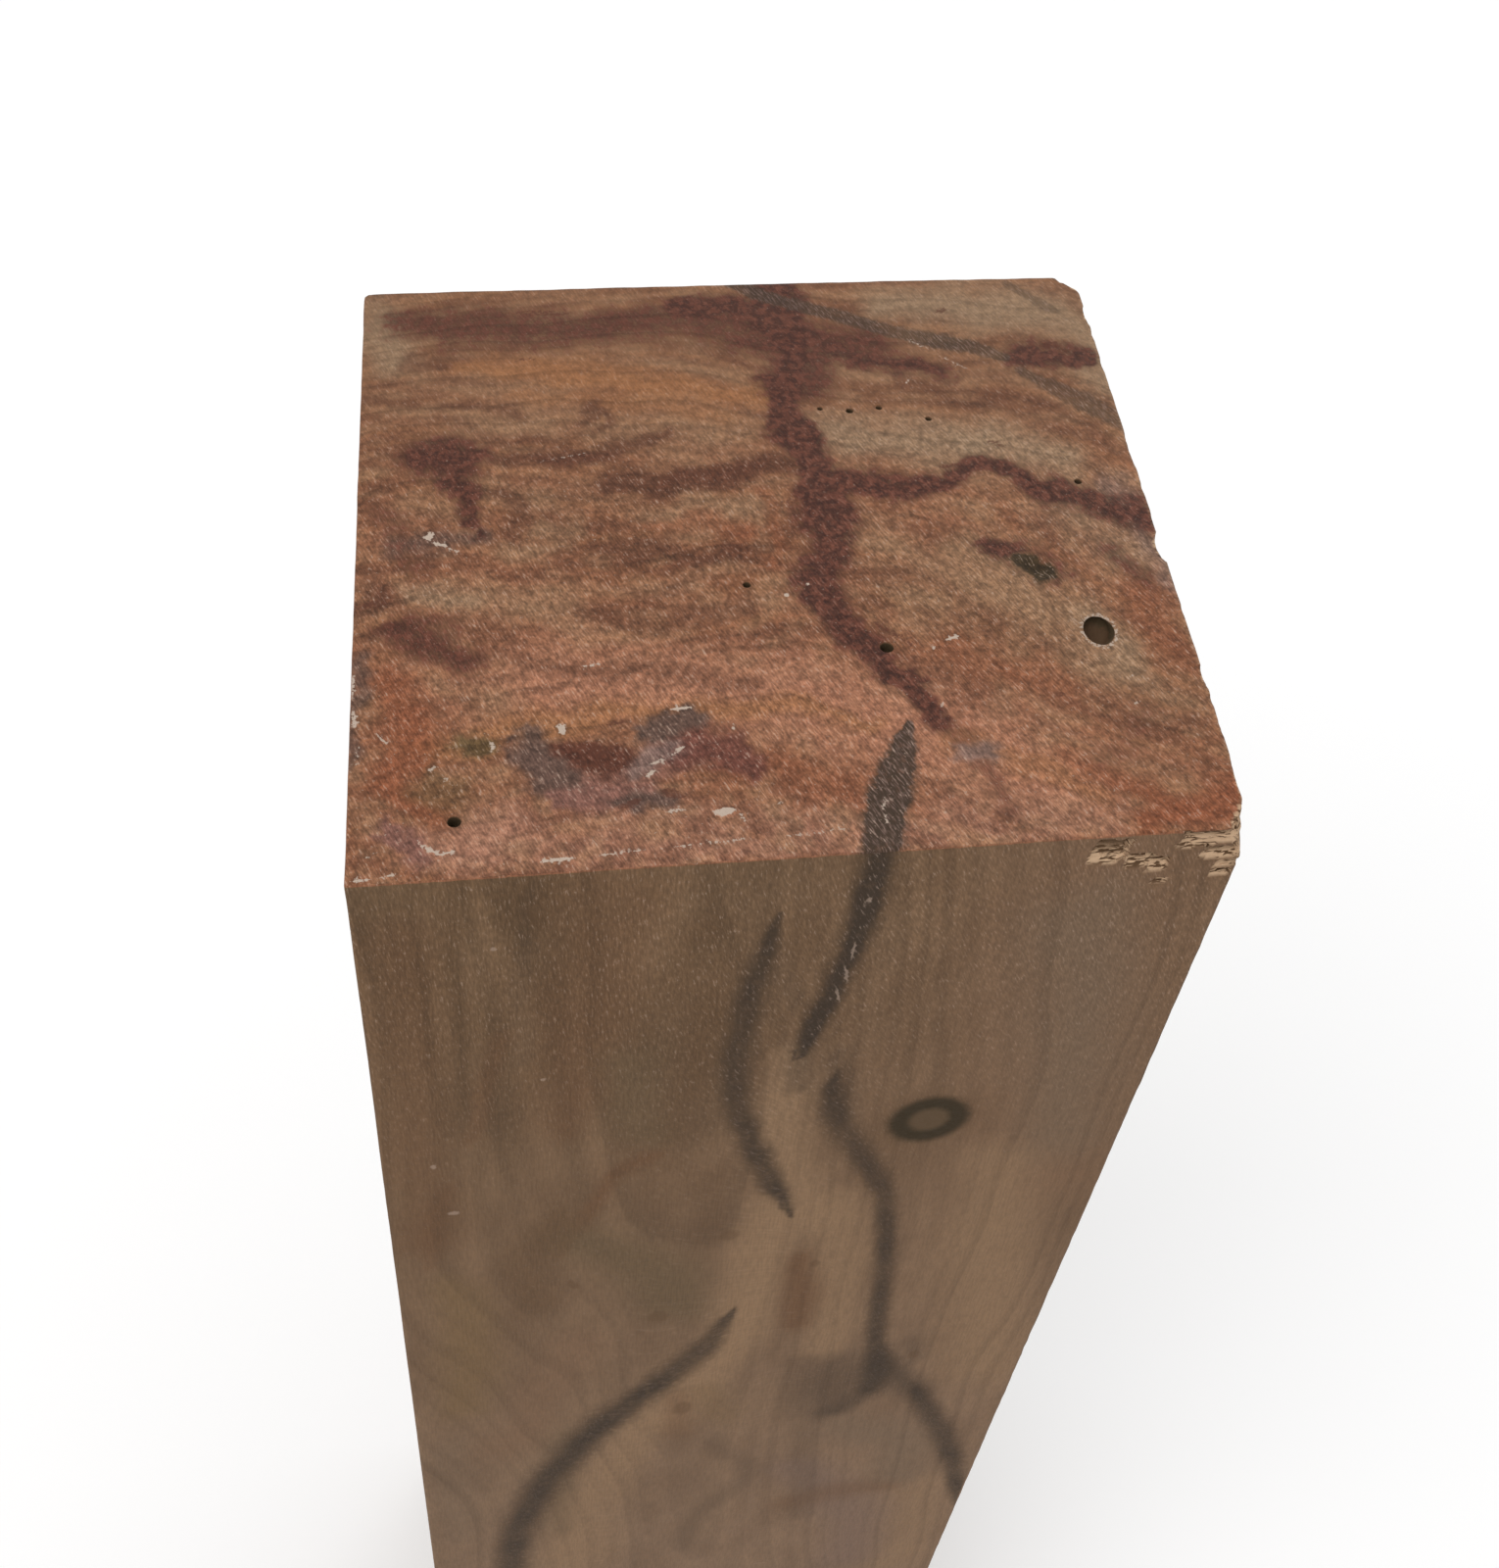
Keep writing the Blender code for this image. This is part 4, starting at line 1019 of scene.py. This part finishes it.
def paint_the_faces(layers, where, on_the_end):
    for face in range(4):
        here = where[:, 0] == face
        along, below = where[here, 1:].T
        across = layers["ring"][here] * RING_PITCH
        spots = np.column_stack((along, below))
        slow = spots * (1, 0.6)
        wandered = spots + wander(slow, 6.0, 31.0 + face)[:, :2] * (1.2, 2.4)
        steady = spots + wander(slow, 2.4, 41.0 + face)[:, :2] * (0.35, 0.8)
        # the faces' ground colour, with painted shade towards the upper end
        tint = taupe_with_painted_shade(along, below, np.full(len(spots), face))
        shade(tint, swing(spots / (9.0, 22.0), 71.0 + face), 0.22, TAUPE_LIGHT, TAUPE_DARK)
        shade(tint, swing(spots / (3.2, 9.0), 75.0 + face), 0.17, TAUPE_LIGHT, TAUPE_DARK)
        near_end = 0.04 + (0.07 + 0.09 * ease_step(along, 8, -22)) * ease_step(below, 90, 20)
        lines = swing(np.column_stack((across / 0.8, below / 30.0)), 81.0 + face)
        tint *= 1 + (near_end * lines)[:, None]
        for colour, strength, soft, line in FACE_PAINTS[face]:
            paint(wandered, tint, colour, strength, soft, line)
        layers["side_tint"][here] = tint
        spalt = line_field(steady, FACE_SPALTS[face])
        layers["spalt"][here] = np.where(on_the_end[here, None], layers["spalt"][here], spalt)


def fuzziness(points, below, on_the_end):
    """How strongly the short fibres show: most on the front half of the end and under its arris."""
    on_cap = 0.11 + 0.16 * ease_step(-points[:, 1], -30, 6)
    on_face = 0.03 + 0.12 * ease_step(-below, -62, -8)
    return np.where(on_the_end, on_cap, on_face)


def flecks(spots, cap):
    """Up to 1 in the small pale marks of the end, down to -1 in its dark ones."""
    made = np.zeros(len(spots))
    for strength, x, y, angle, long, wide in END_MARKS:
        out = np.linalg.norm(turned_by(spots - (x, y), angle) / (long, wide), axis=1)
        inside = abs(strength) * np.where(cap, np.clip((MARK_FADE - out) / 0.8, 0, 1), 0)
        made = np.maximum(made, inside) if strength > 0 else np.where(inside > 0, -inside, made)
    away = spots - on_end(*GALLERY)
    out = np.hypot(away[:, 0] / GALLERY_WIDE, away[:, 1] / GALLERY_WIDE * math.cos(GALLERY_LEAN)) * 2
    return np.where(cap & (abs(out - 1.06) < 0.14), 0.6, made)


def build_skin():
    skin, mouths = block_mesh()
    points, out = ease_arrises(skin.points)
    points[:, 0] += lean(points[:, 1])
    rest = points.copy()
    face, _, below = skin.where.T
    cap = (face == UPPER_END) | (below == 0)
    raw = nick_the_arris(points)
    raw = np.maximum(raw, knock_corners(points))
    torn = tear_the_grain(points)
    sink_dishes(points, cap)
    bow_the_back(points)
    relief(points, out, face)
    skin.points = points
    for hole, mouth in zip(holes_of_the_end(), mouths):
        skin.add(*hole_wall(*hole, mouth, len(skin.points)))
    block, holes = slice(0, len(rest)), slice(len(rest), len(skin.points))
    splinters, faces = slivers()
    skin.add(splinters, [tuple(corner + holes.stop for corner in face) for face in faces])

    rest = np.vstack((rest, skin.points[holes.start:]))
    total = len(rest)
    on_the_end = np.zeros(total, bool)
    on_the_end[block] = cap
    layers = {name: np.zeros(total) for name in ("purple", "bare", "torn", "hollow", "fleck")}
    layers["spalt"] = np.zeros((total, 3))
    layers["end_tint"] = np.tile(SEALED, (total, 1))
    layers["side_tint"] = np.tile(TAUPE_LOW, (total, 1))
    layers["ring"], round_way = rings_at(rest)
    paint_the_end(layers, rest, on_the_end, round_way)
    paint_the_faces(layers, skin.where, on_the_end)
    layers["torn"][block] = torn
    layers["bare"][block] = np.maximum(0.9 * raw, ease_step(torn, 0.04, 0.2))
    layers["bare"][holes.stop:] = 1
    # 1 on the upper walls of the holes, which take painted shade, 0.4 deeper down on their floors
    layers["hollow"][holes] = np.where(LENGTH - rest[holes, 2] > 0.6 * GALLERY_DEEP, 0.4, 1)
    layers["fuzz"] = fuzziness(rest, skin.where[:, 2], on_the_end)
    layers["fleck"][block] = flecks(rest[block, :2], cap)
    return skin, layers


def add_layer(mesh, name, values):
    if values.ndim == 2:
        values = np.column_stack((values, np.ones(len(values))))
        mesh.attributes.new(name, "FLOAT_COLOR", "POINT").data.foreach_set("color", values.ravel())
    else:
        mesh.attributes.new(name, "FLOAT", "POINT").data.foreach_set("value", values)


def put(name, data):
    made = bpy.data.objects.new(name, data)
    bpy.context.scene.collection.objects.link(made)
    return made


def make_piece(skin, layers):
    mesh = bpy.data.meshes.new("blank_skin")
    mesh.from_pydata((skin.points * MM).tolist(), [], skin.faces)
    for name, values in layers.items():
        add_layer(mesh, name, values)
    rough = (layers["torn"] > 0.12) | (layers["bare"] > 0.6)
    smooth = [not rough[list(polygon.vertices)].any() for polygon in mesh.polygons]
    mesh.polygons.foreach_set("use_smooth", smooth)
    mesh.update()
    return put("blank_skin", mesh)


# Material nodes: most of these calls give back the output socket

def feed(socket, value):
    if isinstance(value, bpy.types.NodeSocket):
        socket.id_data.links.new(value, socket)
    else:
        wide = socket.type == "RGBA" and len(value) == 3
        socket.default_value = (*value, 1) if wide else value


def node(kind, *values, tree=None, named=None, **settings):
    """A node with values or sockets for its inputs, in order or by name, in the tree of its sockets."""
    named = named or {}
    sockets = [value for value in (*values, *named.values()) if isinstance(value, bpy.types.NodeSocket)]
    made = (tree or sockets[0].id_data).nodes.new("ShaderNode" + kind)
    for name, value in settings.items():
        setattr(made, name, value)
    for place, value in (*enumerate(values), *named.items()):
        feed(made.inputs[place], value)
    return made


def clear_tree(owner):
    owner.use_nodes = True
    owner.node_tree.nodes.clear()
    return owner.node_tree


def calc(operation, *values):
    return node("Math", *values, operation=operation).outputs[0]


def product(*values):
    return functools.reduce(functools.partial(calc, "MULTIPLY"), values)


def linear(value, slope, rest):
    return calc("MULTIPLY_ADD", value, slope, rest)


def step(value, start, stop, low_value=0, high_value=1):
    values = (value, start, stop, low_value, high_value)
    return node("MapRange", *values, interpolation_type="SMOOTHSTEP").outputs[0]


def mix(share, first, second):
    """A blend of two colours."""
    return node("Mix", share, named={6: first, 7: second}, data_type="RGBA").outputs[2]


def blend(share, first, second):
    """A blend of two numbers."""
    return node("Mix", share, named={2: first, 3: second}, data_type="FLOAT").outputs[0]


def brighten(colour, factor):
    return node("HueSaturation", named={"Value": factor, "Color": colour}).outputs[0]


def cloud(vector, scale, detail=2.0, roughness=0.5, dimensions="2D"):
    values = {"Vector": vector, "Scale": scale, "Detail": detail, "Roughness": roughness}
    return node("TexNoise", named=values, noise_dimensions=dimensions).outputs[0]


def streaks(vector, long, wide, detail, roughness):
    """Noise drawn out to this length across and this width down."""
    drawn_out = node("Mapping", vector, (0, 0, 0), (0, 0, 0), (long, wide, 1), vector_type="TEXTURE")
    return cloud(drawn_out.outputs[0], 1, detail, roughness)


def out_of(vector, x, y, angle, long, wide):
    """Distance from a turned ellipse's centre, 1 on its edge, for a vector whose third part is 1."""
    c, s = math.cos(math.radians(angle)), math.sin(math.radians(angle))
    rows = (
        (c / long, s / long, -(c * x + s * y) / long),
        (-s / wide, c / wide, (s * x - c * y) / wide),
    )
    a, b = (node("VectorMath", vector, row, operation="DOT_PRODUCT").outputs["Value"] for row in rows)
    return calc("SQRT", linear(a, a, product(b, b)))


# The wood's material

FRONT_SKIN = 2.5  # how deep a point may lie and still be on the front face
SEALED_SIDES = (0.50, 0.40)  # how far the end's sealer runs down the faces, and from where it fades
SEALED_DISHES = (0.80, 0.62)  # the same in the dishes of the end
FIBRE_LONG = 1.1
FIBRE_WIDE = 0.20
FIBRE_TURN = math.radians(67)
FIBRE_SWING = math.radians(17)  # how much steeper they stand at the left of the front face

PURPLE = (0.106, 0.035, 0.022)
PURPLE_DEEP = (0.064, 0.022, 0.015)
PURPLE_GREY = (0.150, 0.068, 0.050)
SPALT_BLACK = (0.045, 0.031, 0.021)
SPALT_SOFT = (0.062, 0.039, 0.023)
FRESH = (0.620, 0.420, 0.265)
FRESH_SHADE = (0.110, 0.060, 0.030)
KNOT_CORE = (0.105, 0.066, 0.036)
PALE_CRUST = (0.520, 0.410, 0.330)
# pale specks, partly painted glints of the sealed end
SPECK_AND_GLINT = (0.480, 0.350, 0.270)
PLUG_BROWN = (0.160, 0.086, 0.048)
# the holes' upper walls: painted shade
HOLE_OLIVE_SHADE = (0.090, 0.062, 0.034)


class Wood:
    """Dry sawn faces and a sealed end, with stain, spalt, small marks and bare torn grain."""

    def __init__(self, material):
        self.tree = clear_tree(material)
        self.find_places()
        self.grow_fibres()
        self.bump = self.relief()
        lip = linear(self.fine, 0.3, self.below)
        stop, start = (blend(self.upward, *pair) for pair in zip(SEALED_SIDES, SEALED_DISHES))
        self.sealed = step(lip, stop, start)
        self.clot = cloud(self.sheet, 0.95, 3, 0.65)
        self.late = self.latewood()

    def layer(self, name, output="Fac"):
        return node("Attribute", tree=self.tree, attribute_name=name).outputs[output]

    def find_places(self):
        """Where a point lies in mm, and the sheet: across and down on a face, x and y on an end."""
        here = node("TexCoord", tree=self.tree).outputs["Object"]
        self.place = node("Mapping", here, (0, 0, 0), (0, 0, 0), (1 / MM, 1 / MM, 1 / MM)).outputs[0]
        self.x, y, z = node("SeparateXYZ", self.place).outputs[:3]
        self.below = calc("SUBTRACT", LENGTH, z)
        facing = node("NewGeometry", tree=self.tree).outputs["True Normal"]
        self.normal = node("SeparateXYZ", facing).outputs
        sideways = calc("GREATER_THAN", *(calc("ABSOLUTE", self.normal[axis]) for axis in (0, 1)))
        self.upward = calc("GREATER_THAN", self.normal[2], 0.5)
        self.on_front = product(calc("LESS_THAN", y, FRONT_SKIN - HALF), calc("SUBTRACT", 1, sideways))
        self.along = blend(self.upward, blend(sideways, self.x, y), self.x)
        down = blend(self.upward, product(self.below, -1), y)
        self.sheet = node("CombineXYZ", self.along, down, 0).outputs[0]

    def grow_fibres(self):
        self.fine = cloud(self.place, 2.2, 2, 0.6, "3D")
        to_left = product(step(self.along, 12, -20), calc("SUBTRACT", 1, self.upward))
        values = {"Vector": self.sheet, "Angle": linear(to_left, FIBRE_SWING, FIBRE_TURN)}
        turned = node("VectorRotate", named=values, rotation_type="Z_AXIS").outputs[0]
        shrunk = node("VectorMath", turned, (1 / FIBRE_LONG, 1 / FIBRE_WIDE, 0), operation="MULTIPLY")
        self.hairs = cloud(shrunk.outputs[0], 1, 2, 0.65)
        self.strips = streaks(self.sheet, 2, 0.33, 2, 0.6)
        self.speckle = cloud(self.sheet, 2.7, 2, 0.7)
        self.fuzz = self.layer("fuzz")
        self.bare = self.layer("bare")

    def relief(self):
        ridge = linear(self.fine, 0.05, product(self.hairs, product(self.fuzz, 0.3)))
        ridge = linear(product(self.strips, self.bare), 0.16, ridge)
        return node("Bump", named={"Strength": 1, "Distance": MM, "Height": ridge}).outputs[0]

    def latewood(self):
        """How dark the latewood line of the growth rings is."""
        turns = self.layer("ring")
        share = calc("FRACT", turns)
        late = product(step(share, 0.35, 0.86), step(share, 1, 0.9))
        bands = node("TexNoise", named={"W": turns, "Scale": 0.55}, noise_dimensions="1D").outputs[0]
        return product(late, step(bands, 0.36, 0.66, 0.15, 1))

    def grain(self):
        """How much lighter or darker pores, rings, clots and fibres make the wood."""
        pores = streaks(self.sheet, 0.22, 2.6, 1, 0.5)
        pitted = product(step(pores, 0.3, 0.78, 1.05, 0.9), step(self.fine, 0.28, 0.72, 0.95, 1.05))
        on_face = product(pitted, linear(self.late, -0.14, 1))
        specks = step(self.fine, 0.28, 0.72, -0.18, 0.22)
        clots = calc("ADD", step(self.clot, 0.32, 0.68, -0.22, 0.24), specks)
        clots = linear(clots, step(self.fuzz, 0.1, 0.24, 0.55, 1), 1)
        on_end = product(clots, linear(self.late, -0.2, 1))
        furred = linear(step(self.hairs, 0.34, 0.66, -0.85, 1), self.fuzz, 1)
        return product(blend(self.sealed, on_face, on_end), furred)

    def figure(self):
        """The painted colours under the heart stain and the grain."""
        grain = self.grain()
        purple = self.layer("purple")
        edge = calc("ADD", purple, linear(self.clot, 0.8, -0.4))
        edge = calc("ADD", edge, linear(self.fine, 0.5, -0.25))
        self.stained = product(step(edge, 0.06, 0.66), step(purple, 0, 0.25), self.sealed)
        heart = mix(step(self.clot, 0.4, 0.6), PURPLE_DEEP, PURPLE)
        heart = mix(step(self.fine, 0.52, 0.76, 0, 0.34), heart, PURPLE_GREY)
        tint = mix(self.sealed, self.layer("side_tint", "Color"), self.layer("end_tint", "Color"))
        return brighten(mix(product(self.stained, 0.95), tint, heart), grain)

    def spalted(self, tint):
        """Black fungus lines, broken up by clots and by paler fibres."""
        field = self.layer("spalt", "Vector")
        flat = node("VectorMath", field, (1, 1, 0), operation="MULTIPLY").outputs[0]
        gap = node("VectorMath", flat, operation="LENGTH").outputs["Value"]
        gap = linear(calc("SUBTRACT", self.clot, 0.5), 0.7, gap)
        strength = node("SeparateXYZ", field).outputs[2]
        spalt = product(step(gap, 1.15, blend(self.sealed, 0.15, 0.6)), strength)
        inked = product(spalt, step(self.clot, 0.25, 0.6, 0.8, 1.04))
        black = mix(step(spalt, 0.45, 1), SPALT_SOFT, SPALT_BLACK)
        flecked = product(step(self.hairs, 0.46, 0.66), blend(self.sealed, 0.1, 0.62))
        # the paler fibres in the spalt take the pale haze colour, partly painted sheen
        return mix(calc("MINIMUM", inked, 0.94), tint, mix(flecked, black, HAZE_AND_SHEEN))

    def crusted(self, tint):
        """The end's speckle, whose pale specks are partly painted glints, its pale strands, partly painted
        glints too, and its small marks.
        """
        crowd = product(step(self.fuzz, 0.1, 0.26, 0.15, 0.6), step(self.clot, 0.4, 0.6, 0.3, 1))
        crowd = product(crowd, self.sealed)
        # pale specks: partly painted glints, crowded on the front half of the end
        tint = mix(product(step(self.speckle, 0.685, 0.76), crowd), tint, SPECK_AND_GLINT)
        tint = mix(product(step(self.speckle, 0.32, 0.24, 0, 0.55), crowd), tint, DARK_RED)
        # pale strands: partly painted glints along the fibres
        strands = product(step(self.hairs, 0.59, 0.74), step(self.clot, 0.4, 0.6), product(self.fuzz, 2.3))
        tint = mix(product(strands, linear(self.stained, -0.75, 1)), tint, SPECK_AND_GLINT)
        fleck = self.layer("fleck")
        broken = linear(self.hairs, 0.6, linear(self.speckle, 1.9, -1.32))
        pale = step(calc("ADD", fleck, broken), 0.38, 0.62)
        tint = mix(product(pale, step(fleck, 0, 0.9, 0.35, 1)), tint, PALE_CRUST)
        return mix(step(calc("SUBTRACT", fleck, broken), -0.38, -0.75, 0, 0.7), tint, DARK_RED)

    def marked(self, tint):
        """The ring knot and the small marks of the front face."""
        uneven = linear(self.fine, 0.5, -0.25)
        ragged = (calc("ADD", self.x, uneven), calc("SUBTRACT", self.below, uneven), 1)
        ragged = node("CombineXYZ", *ragged).outputs[0]
        out = out_of(ragged, *RING_KNOT)
        for shares, colour in (
            ([step(out, 1.65, 0.95, 0, 0.22)], TAUPE_DARK),
            ([step(out, 0.75, 0.55, 0, 0.95)], KNOT_CORE),
            ([step(out, 0.33, 0.62, 0, 0.95), step(out, 1.15, 0.8)], BARK_OLIVE),
        ):
            tint = mix(product(*shares, self.on_front), tint, colour)
        for marks, colour, strength in ((FRONT_DARK, TAUPE_DARK, 0.45), (FRONT_PALE, SPECK_AND_GLINT, 0.4)):
            found = [step(out_of(ragged, *mark), 1.1, 0.55, 0, strength) for mark in marks]
            most = functools.reduce(functools.partial(calc, "MAXIMUM"), found)
            tint = mix(product(most, self.on_front), tint, colour)
        return tint

    def bared(self, tint):
        """Fresh wood where it is torn or rubbed, the insides of the holes with painted shade on their upper
        walls, and the plain lower end.
        """
        fresh = mix(step(self.strips, 0.4, 0.52), FRESH_SHADE, FRESH)
        torn = step(self.layer("torn"), 0.42, 0.95, 0, 0.88)
        tint = mix(self.bare, tint, mix(torn, fresh, FRESH_SHADE))
        # painted shade on the holes' upper walls, plug brown on their floors
        hollow = self.layer("hollow")
        tint = mix(step(hollow, 0, 0.4, 0, 0.95), tint, mix(hollow, PLUG_BROWN, HOLE_OLIVE_SHADE))
        lower_end = mix(product(self.late, 0.3), TAUPE_LOW, TAUPE_BROWN)
        lower_end = brighten(lower_end, step(self.fine, 0.3, 0.7, 0.84, 1.08))
        return mix(calc("LESS_THAN", self.normal[2], -0.6), tint, lower_end)

    def roughness(self):
        dry = step(self.fine, 0.3, 0.7, 0.74, 0.86)
        waxed = linear(self.stained, -0.06, step(self.fine, 0.3, 0.7, 0.54, 0.7))
        return blend(product(self.sealed, calc("SUBTRACT", 1, self.bare)), dry, waxed)


def wood():
    made = bpy.data.materials.new("sawn_wood")
    look = Wood(made)
    values = {
        "Base Color": look.bared(look.marked(look.crusted(look.spalted(look.figure())))),
        "Roughness": look.roughness(),
        "Normal": look.bump,
        "Specular IOR Level": 0.12,
    }
    node("OutputMaterial", node("BsdfPrincipled", named=values).outputs[0])
    return made


# The stage

CAMERA_AT = (-30.7, -134.6, 434.4)
CAMERA_TURN = (-13.38, 39.70, 6.94)
PHOTO_HIGH = 1600
FOCAL_PIXELS = 2043
SENSOR = 36.0


def add_camera():
    data = bpy.data.cameras.new("camera")
    data.sensor_width = SENSOR
    data.lens = SENSOR * FOCAL_PIXELS / PHOTO_HIGH
    data.clip_start = 0.001
    made = put("camera", data)
    turn = Matrix.Identity(4)
    for angle, axis in zip(CAMERA_TURN, "ZXZ"):
        turn @= Matrix.Rotation(math.radians(angle), 4, axis)
    made.matrix_world = Matrix.Translation(Vector(CAMERA_AT) * MM) @ turn
    bpy.context.scene.camera = made


def add_soft_light(name, place, size, power):
    data = bpy.data.lights.new(name, "AREA")
    data.shape = "DISK"
    data.size = size
    data.energy = power
    made = put(name, data)
    made.location = place
    made.rotation_euler = (Vector((0, 0, 0.2)) - Vector(place)).to_track_quat("-Z", "Y").to_euler()


WORLD_LEVEL = 0.72
WHITE = (1, 1, 1)
FLOOR_SIZE = 16.0
FLOOR_COLOUR = (0.90, 0.90, 0.90)
FLOOR_LIFT = 0.18  # lets the open floor reach white in the picture


def seen_directly(tree):
    """1 for the camera and for what is seen in gloss or through glass."""
    rays = node("LightPath", tree=tree).outputs
    either = calc("MAXIMUM", rays["Is Glossy Ray"], rays["Is Transmission Ray"])
    return calc("MAXIMUM", rays["Is Camera Ray"], either)


def add_surroundings():
    world = bpy.data.worlds.new("white_room")
    bpy.context.scene.world = world
    level = blend(seen_directly(clear_tree(world)), WORLD_LEVEL, 1)
    node("OutputWorld", node("Background", WHITE, level).outputs[0])

    mesh = bpy.data.meshes.new("floor")
    half = FLOOR_SIZE / 2
    corners = [(-half, -half, 0), (half, -half, 0), (half, half, 0), (-half, half, 0)]
    mesh.from_pydata(corners, [], [(0, 1, 2, 3)])
    floor = put("floor", mesh)
    material = bpy.data.materials.new("pale_floor")
    tree = clear_tree(material)
    matte = node("BsdfDiffuse", FLOOR_COLOUR, tree=tree).outputs[0]
    lift = node("Emission", WHITE, product(seen_directly(tree), FLOOR_LIFT)).outputs[0]
    node("OutputMaterial", node("AddShader", matte, lift).outputs[0])
    mesh.materials.append(material)


def dress_the_blank():
    skin, layers = build_skin()
    piece = make_piece(skin, layers)
    piece.data.materials.append(wood())
    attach(piece, "root")
    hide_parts(NODE)


add_camera()
dress_the_blank()
add_surroundings()
add_soft_light("key", (-0.9, -0.7, 1.9), 1.1, 11.0)
add_soft_light("rim", (0.9, 1.2, 1.6), 1.0, 4.0)
bpy.context.scene.view_settings.view_transform = "Standard"
